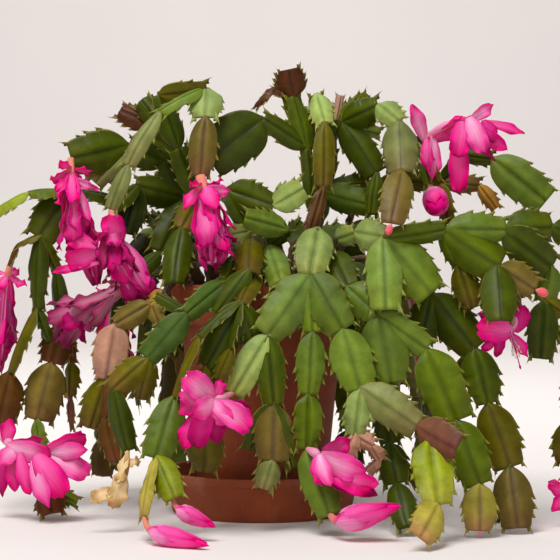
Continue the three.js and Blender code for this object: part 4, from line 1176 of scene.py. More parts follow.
def add_stalk(shape, stem, first, rng):
    """The woody foot of a stem, from its hole in the soil to its first segment."""
    x, y = stem["root"]
    foot = np.array([x, y, STALK_FOOT])
    collar = np.array([x, y, STALK_COLLAR])
    radius = stem.get("radius", STALK_RADIUS)
    shares = np.linspace(0, 1, STALK_ROWS)
    places, headings = smooth_path([collar, *stem["stalk"], first["from"]], shares)
    places = np.vstack([foot, places, first["from"] + first["direction"] * STALK_SINK])
    headings = np.vstack([[0, 0, 1], headings, first["direction"]])
    rows = len(places)
    radii = np.interp(np.linspace(0, 1, rows), [0, STALK_TAPER, 1], [radius, radius, NECK])
    starts = rng.uniform(*STALK_BUMP_STARTS)
    bumps = 1 + STALK_BUMPS * np.sin(np.arange(rows) * STALK_BUMP_PITCH + starts)
    grooves = 1 + STALK_GROOVES * rng.standard_normal((rows, STALK_SIDES))
    radii = (radii * bumps)[:, None] * grooves
    rings = rings_along(places, headings, radii, STALK_SIDES, stem["facing"])
    shape.loft(rings, linear(CORK_TONE), finish=1)


def chain_segments(chain, before, facing):
    """The segments of a chain, each with its ends, direction and side."""
    segments = []
    start = chain[0][0]
    if before is not None:
        start = start - before * SINK
    for to, width, roll, tone in chain[1:]:
        direction = unit(to - start)
        side = side_of(direction, facing, roll)
        placed = {"from": start, "to": to, "direction": direction, "side": side}
        segments.append({**placed, "width": width, "tone": tone})
        start = to
    return segments


def joint_key(joint):
    """The rounded place of a joint, by which a fork finds the one that it starts from."""
    return tuple(np.round(joint, 2))


def leafy_stem(stem, plant, rng):
    """All the segments of a stem and its stalk, as one shape."""
    shape = Shape()
    ends = {}
    for chain in stem["chains"]:
        before = ends.get(joint_key(chain[0][0]))
        segments = chain_segments(chain, before, stem["facing"])
        if not ends:
            add_stalk(shape, stem, segments[0], rng)
            ends[joint_key(chain[0][0])] = segments[0]["direction"]
        for segment in segments:
            add_segment(shape, segment, plant, rng)
            ends[joint_key(segment["to"])] = segment["direction"]
    return shape


def placed_stem(stem):
    """A stem of the list above, with its joints where the eye sees them."""
    chains = [
        [(seen(chain[0]), None, None, None)] + [(seen(joint), *joint[3:]) for joint in chain[1:]]
        for chain in stem["chains"]
    ]
    stalk = [seen(point) for point in stem.get("stalk", [])]
    return {**stem, "stalk": stalk, "chains": chains, "facing": EYE_SIDE}


def draws_from(seed):
    """Evenly spread draws from 0 to 1, the same as in the part's source."""
    state = seed
    while True:
        state = state * 16807 % 2147483647
        yield state / 2147483647


def back_stems():
    """The stems behind the pot, which arch over its rim and hang in their own upright planes."""
    draws = draws_from(BACK_SEED)
    tones = draws_from(BACK_SEED + 1)

    def around(spread):
        return spread * (2 * next(draws) - 1)

    made = []
    for azimuth, name in BACK_PLACES:
        habit = BACK_HABITS[name]

        def at(radius, height, turn):
            angle = math.radians(azimuth + turn)
            return np.array([radius * math.cos(angle), radius * math.sin(angle), height])

        def joint(place, turn=None):
            radius, height = place
            turn = around(BACK_SWAY) if turn is None else turn
            reach = radius + around(BACK_JITTER)
            point = at(reach, max(height + around(BACK_JITTER), BACK_HEM), turn)
            tone = BACK_TONES[int(next(tones) * len(BACK_TONES))]
            return point, habit["width"] + around(BACK_JITTER), around(BACK_ROLL), tone

        main_chain = [joint(place) for place in habit["joints"]]
        hand = -1 if next(draws) < 0.5 else 1
        forks = [
            [main_chain[start]] + [joint(place, hand * share * BACK_FORK_TURN) for place in places]
            for start, share, places in habit["forks"]
        ]
        chains = [main_chain, *forks]
        foot = at(habit["root"], 0, 0)
        made.append({"root": foot[:2], "stalk": [], "chains": chains, "facing": at(1, 0, 0)})
    return made


def back_bloom(stem):
    """A wilted bloom that hangs from the fork of a stem behind the pot."""
    start = stem["chains"][-1][-1][0]
    axis = [start + stem["facing"] * out - np.array([0, 0, down]) for out, down in BACK_DROP]
    return {"form": "wilted", "girth": BACK_GIRTH, "axis": axis}


def petal_tones(tone, spread, ends):
    """Colours of petal tissue, from its heart over its blade to its tip."""
    heart, blade, end = (linear(colour) for colour in PETAL_COLOURS[tone])
    return blend(blend(heart, blade, spread[..., None]), end, ends[..., None])


def add_petal(shape, root, knee, tip, side, width, tone, plant, rng):
    """A thin petal on a bent middle line, with folds along it and a ruffled edge."""
    front = np.concatenate([-PETAL_ACROSS[:0:-1], PETAL_ACROSS])
    columns = np.concatenate([front, front[-2:0:-1]])
    faces = np.concatenate([np.ones(len(front)), -np.ones(len(front) - 2)])
    share = np.abs(columns)
    along = np.broadcast_to(np.linspace(0, 1, PETAL_ROWS)[:, None], (PETAL_ROWS, len(columns)))
    blunt = width > BLUNT_WIDTH
    s = columns * np.interp(along, *(PETAL_BLUNT if blunt else PETAL_POINTED))
    phase = rng.uniform(0, 2 * math.pi, 3)
    depth = rng.uniform(*TROUGH_RANGE) * width * s * s
    ruffle = plant.petal_ruffle / MM * PETAL_RUFFLES.get(tone, 1) * smooth_step(*RUFFLE_REACH, along)
    waves = np.sin(2 * math.pi * RIPPLES * along + phase[0] + RIPPLE_OFFSET * np.sign(columns))
    depth = depth + ruffle * share**2 * waves
    depth = depth + CREASE_HEIGHT * np.sin(CREASES * s + phase[1]) * smooth_step(*CREASE_REACH, along)
    depth = depth + faces * plant.petal_thickness / MM / 2 * np.sqrt(np.clip(1 - share**2, 0, 1))
    ragged = RAGGED_END * blunt * np.sin(RAGS * s + phase[2]) * smooth_step(*RAGGED_REACH, along)
    point, tangent = bent(root, knee, tip, (along + ragged)[..., None])
    normal = unit(np.cross(side, tangent))
    point = point + side * (s * width / 2)[..., None] + normal * depth[..., None]
    spread = np.clip(HEART_SHARE + EDGE_SHARE * share**EDGE_POWER + END_SHARE * along**END_POWER, 0, 1)
    tones = petal_tones(tone, spread, smooth_step(*TIP_REACH, along) * rng.uniform(*TIP_RANGE))
    shape.loft(point, tones * rng.uniform(*PETAL_LIGHTNESS), (along, columns, phase[2]))


def add_ring_petal(shape, root, axis, out, length, width, lift, curl, tone, plant, rng):
    """A petal that leaves the axis at `lift` degrees and turns `curl` degrees more by its tip."""
    a, b = math.radians(lift), math.radians(lift + curl)
    knee = root + (axis * math.cos(a) + out * math.sin(a)) * length / 2
    tip = knee + (axis * math.cos(b) + out * math.sin(b)) * length / 2
    add_petal(shape, root, knee, tip, unit(np.cross(out, axis)), width, tone, plant, rng)


def add_ring(shape, axis, ring, girth, size, plant, rng):
    """A ring of petals round a bloom's tube."""
    at, count, length, width, lift, curl, turn, tone = ring
    [centre], [heading] = smooth_path(axis, [at])
    _, up = right_and_up(heading)
    for i in range(count):
        out = turned_about(up, heading, turn + 360 * i / count + rng.uniform(*RING_TURNS))
        root = centre + out * RING_SEAT * girth
        petal_length = length * size * rng.uniform(*RING_LENGTHS)
        petal_width = width * size * rng.uniform(*RING_WIDTHS)
        petal_lift = lift + rng.uniform(*RING_LIFTS)
        petal_curl = curl + rng.uniform(*RING_CURLS)
        sizes = (petal_length, petal_width, petal_lift, petal_curl)
        add_ring_petal(shape, root, heading, out, *sizes, tone, plant, rng)


def add_set_petal(shape, placed, plant, rng):
    """A petal from one seen joint to another."""
    start, end, width, bow, roll, tone = placed
    root, tip = seen(start), seen(end)
    direction = unit(tip - root)
    side = side_of(direction, EYE_SIDE, roll)
    knee = (root + tip) / 2 + np.cross(side, direction) * bow
    add_petal(shape, root, knee, tip, side, width, tone, plant, rng)


def add_skirt(shape, axis, girth, tone, rng):
    """The collapsed, pleated petals of a wilted bloom, which end in a ragged hem."""
    shares = np.linspace(0, 1, SKIRT_ROWS)
    places, headings = smooth_path(axis, SKIRT_START + (1 - SKIRT_START) * shares)
    down = shares[:, None]
    angles = round_angles(SKIRT_SIDES)
    phase = rng.uniform(0, 2 * math.pi, 4)
    twist = PLEAT_TWIST * down
    wander = PLEAT_WANDER * np.sin(2 * angles + phase[1])
    fold = np.cos(PLEATS * angles + phase[0] + twist + wander)
    fold = fold + BROAD_FOLD_SHARE * np.cos(BROAD_FOLDS * angles + phase[2] - 2 * twist)
    shallow, deepening = FOLD_DEPTHS
    deepen = shallow + deepening * smooth_step(*FOLD_REACH, down)
    flat = 1 + SKIRT_FLAT * np.cos(2 * angles + phase[3])
    radii = np.interp(shares, *SKIRT_RADII)[:, None] * girth * (1 + deepen * fold) * flat
    rings = rings_along(places, headings, radii, SKIRT_SIDES)
    hem = sum(h * np.sin(n * angles + start) for (h, n), start in zip(HEM_WAVES, phase[1:]))
    rings = rings + headings[:, None] * (hem * smooth_step(*HEM_REACH, down))[..., None]
    # Painted highlight makes the pleats' crests paler, and painted shade makes the folds between them a
    # deeper magenta.
    spread = np.clip(SKIRT_BLADE - PLEAT_HIGHLIGHT_AND_SHADE * fold + SKIRT_DOWN * down, 0, 1)
    tones = petal_tones(tone, spread, smooth_step(*HEM_TONE_REACH, down) * HEM_TONE)
    shape.loft(rings, tones, (down, 4 * angles / math.pi, phase[0]))


def add_thread(shape, points, radius, tone, end_size, end_tone):
    """A thin round thread, a filament or a style, with a small body at its end."""
    places, headings = smooth_path(points, np.linspace(0, 1, THREAD_ROWS))
    radii = np.full(THREAD_ROWS, radius)
    shape.loft(rings_along(places, headings, radii, THREAD_SIDES), linear(tone))
    ends = places[-1] + headings[-1] * end_size * THREAD_END[:, None]
    headings = np.repeat(headings[-1:], len(ends), 0)
    shape.loft(rings_along(ends, headings, end_size * THREAD_END_RADII, THREAD_SIDES), linear(end_tone))


def add_stamens(shape, mouth, end, rng):
    """A magenta style from a bloom's mouth to its end, and the pale filaments round it."""
    reach = np.linalg.norm(end - mouth)
    heading = (end - mouth) / reach
    right, up = right_and_up(heading)
    for _ in range(FILAMENTS):
        angle = rng.uniform(0, 2 * math.pi)
        spread = rng.uniform(*FILAMENT_SPREADS)
        out = right * math.cos(angle) + up * math.sin(angle)
        length = reach * rng.uniform(*FILAMENT_LENGTHS)
        bend = mouth + (heading + out * spread / 2) * length / 2
        points = [mouth + out * FILAMENT_SEAT, bend, mouth + (heading + out * spread) * length]
        add_thread(shape, points, FILAMENT_RADIUS, FILAMENT_COLOUR, ANTHER_SIZE, ANTHER_COLOUR)
    arch = (mouth + end) / 2 + up * STYLE_ARCH
    add_thread(shape, [mouth, arch, end], STYLE_RADIUS, STYLE_COLOUR, STIGMA_SIZE, STIGMA_COLOUR)


def bloom(name, made, plant, rng):
    """A bloom: tube, petals and, where a style is given, stamens."""
    shape = Shape()
    form, girth, axis = made["form"], made["girth"], made["axis"]
    set_petals = SET_PETALS.get(name, [])
    opened = form in ("open", "dried") and bool(set_petals)
    shares = np.linspace(0, 1, TUBE_ROWS)
    places, headings = smooth_path(axis, shares * made.get("tube", OPEN_TUBE if opened else 1))
    radii = np.interp(shares, *BLOOM_TUBE) * girth
    colours = PETAL_COLOURS["dried"][1:] if form == "dried" else TUBE_COLOURS
    base, throat = (linear(colour) for colour in colours)
    tones = blend(base, throat, smooth_step(*TUBE_BLEND, shares)[:, None, None])
    shape.loft(rings_along(places, headings, radii, TUBE_SIDES), tones)
    for ring in [] if opened else PETAL_RINGS[form]:
        add_ring(shape, axis, ring, girth, made.get("size", 1), plant, rng)
    for placed in set_petals:
        add_set_petal(shape, placed, plant, rng)
    if form in SKIRT_TONES:
        add_skirt(shape, axis, girth, SKIRT_TONES[form], rng)
    if "style" in made:
        add_stamens(shape, places[-1], seen(made["style"]), rng)
    return shape


def add_scale(shape, path, radii, span, angle, tone, rng):
    """A pointed petal that lies on a closed bud, over the shares of its length in `span`."""
    shares = np.linspace(0, 1, SCALE_ROWS)
    on_bud = span[0] + (span[1] - span[0]) * shares
    places, headings = smooth_path(path, on_bud)
    half = np.interp(shares, *SCALE_WIDTHS)
    front = np.linspace(-1, 1, SCALE_COLUMNS)
    columns = np.concatenate([front, front[-2:0:-1]])
    outside = np.arange(len(columns)) < SCALE_COLUMNS
    lift = np.where(outside, SCALE_OUTSIDE, SCALE_INSIDE) * (1 - SCALE_THINNING * np.abs(columns))
    raised = SCALE_RISE * smooth_step(*SCALE_RISE_REACH, shares) + SCALE_ROOT
    rings = []
    for k in range(SCALE_ROWS):
        right, up = right_and_up(headings[k])
        turn = (angle + columns * half[k])[:, None]
        radius = (np.interp(on_bud[k], *radii) + raised[k] + lift)[:, None]
        rings.append(places[k] + radius * (np.cos(turn) * up + np.sin(turn) * right))
    along = shares[:, None]
    spread = np.clip(SCALE_HEART + SCALE_EDGE * columns**2 + SCALE_END * along, 0, 1)
    tones = petal_tones(tone, spread, smooth_step(*TIP_REACH, along))
    shape.loft(np.array(rings), tones * rng.uniform(*SCALE_LIGHTNESS), (along, columns, angle))


def bud(made, rng):
    """A closed bud: petals laid over one another, from a peach neck to a magenta point."""
    shape = Shape()
    shares = np.linspace(0, 1, BUD_ROWS)
    points = [seen(point) for point in made["axis"]]
    points[0] = points[0] + unit(points[1] - points[0]) * BUD_LIFT
    places, headings = smooth_path(points, shares)
    marks, swelling = BUD_ROUND if made.get("blunt") else BUD_SPINDLE
    profile = (marks, np.array(swelling) * made["radius"])
    rings = rings_along(places, headings, np.interp(shares, *profile), BUD_SIDES)
    grown = made["radius"] > GROWN_BUD
    peach = linear(TUBE_COLOURS[0])
    bright = linear(PETAL_COLOURS["bright"][1] if grown else YOUNG_BUD_COLOUR)
    shape.loft(rings, blend(peach, bright, smooth_step(*BUD_BLEND, shares)[:, None, None]))
    if grown:
        for start, end, count, turn, tone in BUD_SCALES:
            for k in range(count):
                angle = math.radians(turn) + 2 * math.pi * k / count + rng.uniform(*SCALE_TURNS)
                add_scale(shape, points, profile, (start, end), angle, tone, rng)
    return shape


def rounded(profile, radius):
    """A profile with its inner corners turned to arcs of about the given radius."""
    profile = [np.array(point, float) for point in profile]
    made = [profile[0]]
    for before, corner, after in zip(profile, profile[1:], profile[2:]):
        sides = (before - corner, after - corner)
        reach = min(radius, *(ROUND_LIMIT * np.linalg.norm(side) for side in sides))
        a, b = (corner + unit(side) * reach for side in sides)
        made += [bent(a, corner, b, t)[0] for t in np.linspace(0, 1, ROUND_STEPS)]
    return [*made, profile[-1]]


def turned(profile, sides, wobble=0.0):
    """Rings of a profile [radius, height] about the pot's axis, a little out of round."""
    angles = round_angles(sides)
    off = 1 + wobble * np.sin(2 * angles + 0.6) + wobble * 0.5 * np.sin(5 * angles)
    x, y = off * np.cos(angles), off * np.sin(angles)
    return np.array([np.stack([r * x, r * y, np.full(sides, z)], -1) for r, z in profile])


def aimed(place, target):
    """The turn of a light or camera at a place that makes it look at a target, level."""
    x, y, z = unit(np.array(target) - np.array(place))
    return math.acos(-z), 0.0, math.atan2(y, x) - math.pi / 2


def add_node(tree, kind, inputs=None, **settings):
    """Adds a node with its settings. An input is a value or the socket it is linked to."""
    node = tree.nodes.new(kind)
    for name, value in settings.items():
        setattr(node, name, value)
    for name, value in (inputs or {}).items():
        if isinstance(value, bpy.types.NodeSocket):
            tree.links.new(value, node.inputs[name])
        else:
            node.inputs[name].default_value = value
    return node


def new_material(name):
    """A material without nodes, and its node tree."""
    material = bpy.data.materials.new(name)
    material.use_nodes = True
    material.node_tree.nodes.clear()
    return material, material.node_tree


def shaded(tree, colour, noise, low, high):
    """A colour times a noise that is drawn out to the given range."""
    limits = {"From Min": 0.3, "From Max": 0.7, "To Min": low, "To Max": high}
    spread = add_node(tree, "ShaderNodeMapRange", {"Value": noise.outputs["Fac"], **limits})
    factors = {0: colour, 1: spread.outputs["Result"]}
    return add_node(tree, "ShaderNodeVectorMath", factors, operation="MULTIPLY").outputs["Vector"]


def mottled(tree, colour, coordinates, patch_mm, low, high, detail=4.0):
    """A colour made darker and lighter in patches of about the given size."""
    pattern = {"Vector": coordinates, "Scale": 1 / (patch_mm * MM), "Detail": detail}
    return shaded(tree, colour, add_node(tree, "ShaderNodeTexNoise", pattern), low, high)


def waxy_skin(plant):
    """Living stem skin: a thin natural wax over green flesh. It gives soft, broad highlights,
    mottled greens and fine dimples."""
    material, tree = new_material("waxy_stem_skin")
    tone = add_node(tree, "ShaderNodeAttribute", attribute_name="tone").outputs["Color"]
    place = add_node(tree, "ShaderNodeTexCoord").outputs["Object"]
    patches = mottled(tree, tone, place, SKIN_PATCH, low=0.78, high=1.2)
    pores = mottled(tree, patches, place, SKIN_PORE, low=0.92, high=1.07, detail=2.0)
    pattern = {"Vector": place, "Scale": 1 / (SKIN_DIMPLE * MM), "Detail": 3.0}
    dimples = add_node(tree, "ShaderNodeTexNoise", pattern).outputs["Fac"]
    low, high = plant.skin_roughness - 0.1, plant.skin_roughness + 0.1
    rough = add_node(tree, "ShaderNodeMapRange", {"Value": dimples, "To Min": low, "To Max": high})
    relief = {"Height": dimples, "Distance": 0.00025, "Strength": 0.6}
    bump = add_node(tree, "ShaderNodeBump", relief)
    surface = {
        "Base Color": pores,
        "Roughness": rough.outputs["Result"],
        "IOR": 1.4,
        "Specular IOR Level": 0.22,
        "Normal": bump.outputs["Normal"],
    }
    shader = add_node(tree, "ShaderNodeBsdfPrincipled", surface)
    add_node(tree, "ShaderNodeOutputMaterial", {"Surface": shader.outputs["BSDF"]})
    return material


def corky_bark():
    """Old stem wood, dry and ridged along its length. It looks dull and fibrous."""
    material, tree = new_material("corky_stem_bark")
    tone = add_node(tree, "ShaderNodeAttribute", attribute_name="tone").outputs["Color"]
    place = add_node(tree, "ShaderNodeTexCoord").outputs["Object"]
    stretch = {"Vector": place, "Scale": (1.0, 1.0, 0.25)}
    drawn = add_node(tree, "ShaderNodeMapping", stretch).outputs["Vector"]
    patches = mottled(tree, tone, drawn, BARK_PATCH, low=0.55, high=1.35)
    pattern = {"Vector": drawn, "Scale": 1 / (BARK_RIDGE * MM), "Detail": 5.0}
    ridges = add_node(tree, "ShaderNodeTexNoise", pattern).outputs["Fac"]
    bump = add_node(tree, "ShaderNodeBump", {"Height": ridges, "Distance": 0.0008})
    surface = {"Base Color": patches, "Roughness": 0.85, "Normal": bump.outputs["Normal"]}
    shader = add_node(tree, "ShaderNodeBsdfPrincipled", surface)
    add_node(tree, "ShaderNodeOutputMaterial", {"Surface": shader.outputs["BSDF"]})
    return material


def silky_petal(name="silky_petal_tissue", roughness=0.42, scatter=0.25):
    """Thin, moist petal tissue. Light soaks into it and comes out pink, and fine veins run along
    it. Dried, it is rougher and lets less light in, and looks papery."""
    material, tree = new_material(name)
    tone = add_node(tree, "ShaderNodeAttribute", attribute_name="tone").outputs["Color"]
    place = add_node(tree, "ShaderNodeAttribute", attribute_name="place").outputs["Vector"]
    # The veins follow each petal's own length and width, of which nine take up the width.
    drawn = add_node(tree, "ShaderNodeMapping", {"Vector": place, "Scale": (1.2, 9.0, 1.0)})
    pattern = {"Vector": drawn.outputs["Vector"], "Scale": 1.6, "Detail": 4.0}
    veins = add_node(tree, "ShaderNodeTexNoise", pattern)
    relief = {"Height": veins.outputs["Fac"], "Distance": 0.0004, "Strength": 0.5}
    bump = add_node(tree, "ShaderNodeBump", relief)
    surface = {
        "Base Color": shaded(tree, tone, veins, low=0.82, high=1.12),
        "Roughness": roughness,
        "IOR": 1.4,
        "Specular IOR Level": 0.08,
        "Subsurface Weight": scatter,
        "Subsurface Radius": (1.0, 0.3, 0.5),
        "Subsurface Scale": 0.002,
        "Normal": bump.outputs["Normal"],
    }
    shader = add_node(tree, "ShaderNodeBsdfPrincipled", surface)
    add_node(tree, "ShaderNodeOutputMaterial", {"Surface": shader.outputs["BSDF"]})
    return material


def fired_terracotta(pot):
    """Unglazed red clay, wheel turned and fired, darkened by damp. It looks matt and chalky, with
    faint turning lines, specks of grog and a paler bloom of lime."""
    material, tree = new_material("fired_terracotta")
    place = add_node(tree, "ShaderNodeTexCoord").outputs["Object"]
    patches = mottled(tree, pot.clay_colour, place, CLAY_PATCH, low=0.8, high=1.18)
    grog = mottled(tree, patches, place, CLAY_GROG, low=0.9, high=1.1, detail=2.0)
    pattern = {"Vector": place, "Scale": 1 / (CLAY_LIME * MM), "Detail": 8.0}
    lime = add_node(tree, "ShaderNodeTexNoise", pattern).outputs["Fac"]
    limits = {"Value": lime, "From Min": 0.58, "From Max": 0.8, "To Max": 0.35}
    share = add_node(tree, "ShaderNodeMapRange", limits).outputs["Result"]
    pair = {"Factor": share, "A": grog, "B": (*linear(LIME_COLOUR), 1)}
    chalky = add_node(tree, "ShaderNodeMix", pair, data_type="RGBA")
    # Stretched far round the pot, the noise makes level lines.
    stretch = {"Vector": place, "Scale": (0.02, 0.02, 1.0)}
    drawn = add_node(tree, "ShaderNodeMapping", stretch).outputs["Vector"]
    pattern = {"Vector": drawn, "Scale": 1 / (TURNING_LINE * MM), "Detail": 3.0}
    lines = add_node(tree, "ShaderNodeTexNoise", pattern).outputs["Fac"]
    pattern = {"Vector": place, "Scale": 1 / (CLAY_GRAIN * MM), "Detail": 3.0}
    grain = add_node(tree, "ShaderNodeTexNoise", pattern).outputs["Fac"]
    relief = {"Height": lines, "Distance": 0.0003, "Strength": 0.5}
    low = add_node(tree, "ShaderNodeBump", relief).outputs["Normal"]
    relief = {"Height": grain, "Distance": 0.00025, "Strength": 0.6, "Normal": low}
    bump = add_node(tree, "ShaderNodeBump", relief)
    surface = {
        "Base Color": chalky.outputs["Result"],
        "Roughness": 0.72,
        "IOR": 1.5,
        "Normal": bump.outputs["Normal"],
    }
    shader = add_node(tree, "ShaderNodeBsdfPrincipled", surface)
    add_node(tree, "ShaderNodeOutputMaterial", {"Surface": shader.outputs["BSDF"]})
    return material


def potting_soil():
    """Damp peat and bark crumbs. It looks dark, rough and broken, without a highlight."""
    material, tree = new_material("damp_potting_soil")
    tone = add_node(tree, "ShaderNodeAttribute", attribute_name="tone").outputs["Color"]
    place = add_node(tree, "ShaderNodeTexCoord").outputs["Object"]
    patches = mottled(tree, tone, place, SOIL_PATCH, low=0.45, high=1.6)
    pattern = {"Vector": place, "Scale": 1 / (SOIL_GRAIN * MM), "Detail": 6.0}
    crumbs = add_node(tree, "ShaderNodeTexNoise", pattern).outputs["Fac"]
    bump = add_node(tree, "ShaderNodeBump", {"Height": crumbs, "Distance": 0.0015})
    surface = {"Base Color": patches, "Roughness": 0.95, "Normal": bump.outputs["Normal"]}
    shader = add_node(tree, "ShaderNodeBsdfPrincipled", surface)
    add_node(tree, "ShaderNodeOutputMaterial", {"Surface": shader.outputs["BSDF"]})
    return material


def studio_paper(stage):
    """The sheet of matt paper that the pot stands on, which sweeps up behind it. It looks even."""
    material, tree = new_material("matt_studio_paper")
    place = add_node(tree, "ShaderNodeTexCoord").outputs["Object"]
    soft = mottled(tree, stage.paper_colour, place, PAPER_PATCH, low=0.99, high=1.01, detail=1.0)
    shader = add_node(tree, "ShaderNodeBsdfPrincipled", {"Base Color": soft, "Roughness": 0.9})
    add_node(tree, "ShaderNodeOutputMaterial", {"Surface": shader.outputs["BSDF"]})
    return material


class CactusPlant(bpy.types.PropertyGroup):
    """Sizes and finish of the plant."""

    claw_reach: FloatProperty(
        name="Claw reach", description="How far a margin claw stands out", default=0.0026,
        unit="LENGTH",
    )
    ridge_height: FloatProperty(
        name="Ridge height", description="Height of the ridges beside a midrib", default=0.0007,
        unit="LENGTH",
    )
    segment_thickness: FloatProperty(
        name="Segment thickness", description="Thickness of a segment at its midrib", default=0.0024,
        unit="LENGTH",
    )
    segment_wave: FloatProperty(
        name="Segment wave", description="How far a segment's margin waves", default=0.0008,
        unit="LENGTH",
    )
    skin_roughness: FloatProperty(
        name="Skin roughness", description="Roughness of the waxy skin", default=0.4, subtype="FACTOR"
    )
    petal_thickness: FloatProperty(
        name="Petal thickness", description="Thickness of a petal at its middle", default=0.0007,
        unit="LENGTH",
    )
    petal_ruffle: FloatProperty(
        name="Petal ruffle", description="How far a petal's edge waves", default=0.0016, unit="LENGTH"
    )


class CactusPot(bpy.types.PropertyGroup):
    """Sizes and finish of the pot, the saucer and the soil."""

    clay_colour: FloatVectorProperty(
        name="Clay colour", description="Colour of the damp terracotta", default=linear("#8F3E14"),
        subtype="COLOR",
    )
    soil_colour: FloatVectorProperty(
        name="Soil colour", description="Colour of the damp potting soil", default=linear("#3A2A1C"),
        subtype="COLOR",
    )
    edge_radius: FloatProperty(
        name="Edge radius", description="Radius of the worn clay edges", default=0.0014, unit="LENGTH"
    )


class CactusStage(bpy.types.PropertyGroup):
    """The paper and the lights."""

    paper_colour: FloatVectorProperty(
        name="Paper colour", description="Colour of the paper sweep", default=linear("#F0E9E5"),
        subtype="COLOR",
    )
    key_power: FloatProperty(
        name="Key power", description="Power of the large soft light", default=44.0, unit="POWER"
    )
    fill_power: FloatProperty(
        name="Fill power", description="Power of the fill light", default=7.0, unit="POWER"
    )
    paper_power: FloatProperty(
        name="Paper power", description="Power of the light on the paper", default=20.0, unit="POWER"
    )
    sky_strength: FloatProperty(
        name="Sky strength", description="Strength of the light from all round", default=0.31,
        subtype="FACTOR",
    )


class CACTUS_OT_stems(bpy.types.Operator):
    """Makes every leafy stem from its list of joints"""

    bl_idname = "cactus.stems"
    bl_label = "Leafy stems"

    def execute(self, context):
        plant = context.scene.cactus_plant
        materials = [waxy_skin(plant), corky_bark()]
        stems = {name: placed_stem(stem) for name, stem in STEMS.items()}
        for i, stem in enumerate(back_stems(), 1):
            stems["back_%d" % i] = stem
        for i, (name, stem) in enumerate(stems.items()):
            shape = leafy_stem(stem, plant, np.random.default_rng(STEM_SEED + i))
            shape.piece("leafy_" + name, materials, ["stem_" + name], "stem")
        return {"FINISHED"}


class CACTUS_OT_blooms(bpy.types.Operator):
    """Makes the open, wilted and dried blooms"""

    bl_idname = "cactus.blooms"
    bl_label = "Blooms"

    def execute(self, context):
        plant = context.scene.cactus_plant
        silk = silky_petal()
        paper = silky_petal("papery_dried_petal", roughness=0.8, scatter=0.1)
        blooms = {name: {**made, "axis": [seen(p) for p in made["axis"]]} for name, made in BLOOMS.items()}
        behind = back_stems()
        for name in BACK_BLOOMS:
            blooms[name] = back_bloom(behind[int(name.split("_")[1]) - 1])
        for i, (name, made) in enumerate(blooms.items()):
            dried = made["form"] == "dried"
            shape = bloom(name, made, plant, np.random.default_rng(BLOOM_SEED + i))
            slot = "dried_petal" if dried else "petal"
            shape.piece("petals_" + name, [paper if dried else silk], ["bloom_" + name], slot)
        return {"FINISHED"}


class CACTUS_OT_buds(bpy.types.Operator):
    """Makes the closed buds"""

    bl_idname = "cactus.buds"
    bl_label = "Buds"

    def execute(self, context):
        silk = silky_petal("closed_bud_tissue", roughness=0.36, scatter=0.2)
        for i, (name, made) in enumerate(BUDS.items()):
            shape = bud(made, np.random.default_rng(BUD_SEED + i))
            shape.piece("furled_" + name, [silk], ["bud_" + name], "petal")
        return {"FINISHED"}


class CACTUS_OT_pot(bpy.types.Operator):
    """Makes the turned pot and its saucer with worn edges"""

    bl_idname = "cactus.pot"
    bl_label = "Pot and saucer"

    def execute(self, context):
        pot = context.scene.cactus_pot
        clay = fired_terracotta(pot)
        radius = pot.edge_radius / MM
        shape = Shape()
        wall = turned(rounded(POT_WALL, radius)[:-1], TURNED_SIDES, POT_WOBBLE)
        shape.loft(wall, PLAIN_TONE, closed=True)
        shape.piece("turned_pot", [clay], ["pot"], "terracotta")
        shape = Shape()
        shape.loft(turned(rounded(SAUCER_DISH, radius), TURNED_SIDES, SAUCER_WOBBLE), PLAIN_TONE)
        shape.piece("turned_saucer", [clay], ["saucer"], "terracotta")
        return {"FINISHED"}


class CACTUS_OT_soil(bpy.types.Operator):
    """Makes the crumbly soil that fills the pot, with bark and grit on it"""

    bl_idname = "cactus.soil"
    bl_label = "Soil"

    def execute(self, context):
        pot = context.scene.cactus_pot
        rng = np.random.default_rng(SOIL_SEED)
        shape = Shape()
        surface = [(radius, SOIL_TOP) for radius in SOIL_RINGS]
        rings = turned(SOIL_SIDE + surface, SOIL_SIDES)
        crumbs = rng.standard_normal(rings.shape[:2]) * SOIL_CRUMB
        crumbs[: len(SOIL_SIDE)] = 0
        rings[..., 2] += crumbs
        shape.loft(rings, np.array(pot.soil_colour))
        for k in range(GRIT_COUNT):
            angle = rng.uniform(0, 2 * math.pi)
            radius = GRIT_REACH * math.sqrt(rng.uniform(GRIT_MIDDLE, 1))
            size = rng.uniform(*GRIT_SIZES)
            height = SOIL_TOP + size * GRIT_HEIGHT
            centre = np.array([radius * math.cos(angle), radius * math.sin(angle), height])
            heading = unit(rng.standard_normal(3))
            places = centre + heading * size * GRIT_ALONG[:, None]
            rough = rng.uniform(*GRIT_ROUGHNESS, (len(GRIT_ALONG), GRIT_SIDES))
            radii = size * GRIT_RADII[:, None] * rough
            tone = linear(STONE_COLOUR)
            if k % STONE_EVERY:
                tone = linear(BARK_COLOUR) * rng.uniform(*BARK_LIGHTNESS)
            shape.loft(rings_along(places, [heading] * len(places), radii, GRIT_SIDES), tone)
        shape.piece("crumbly_soil", [potting_soil()], ["soil"], "soil")
        return {"FINISHED"}


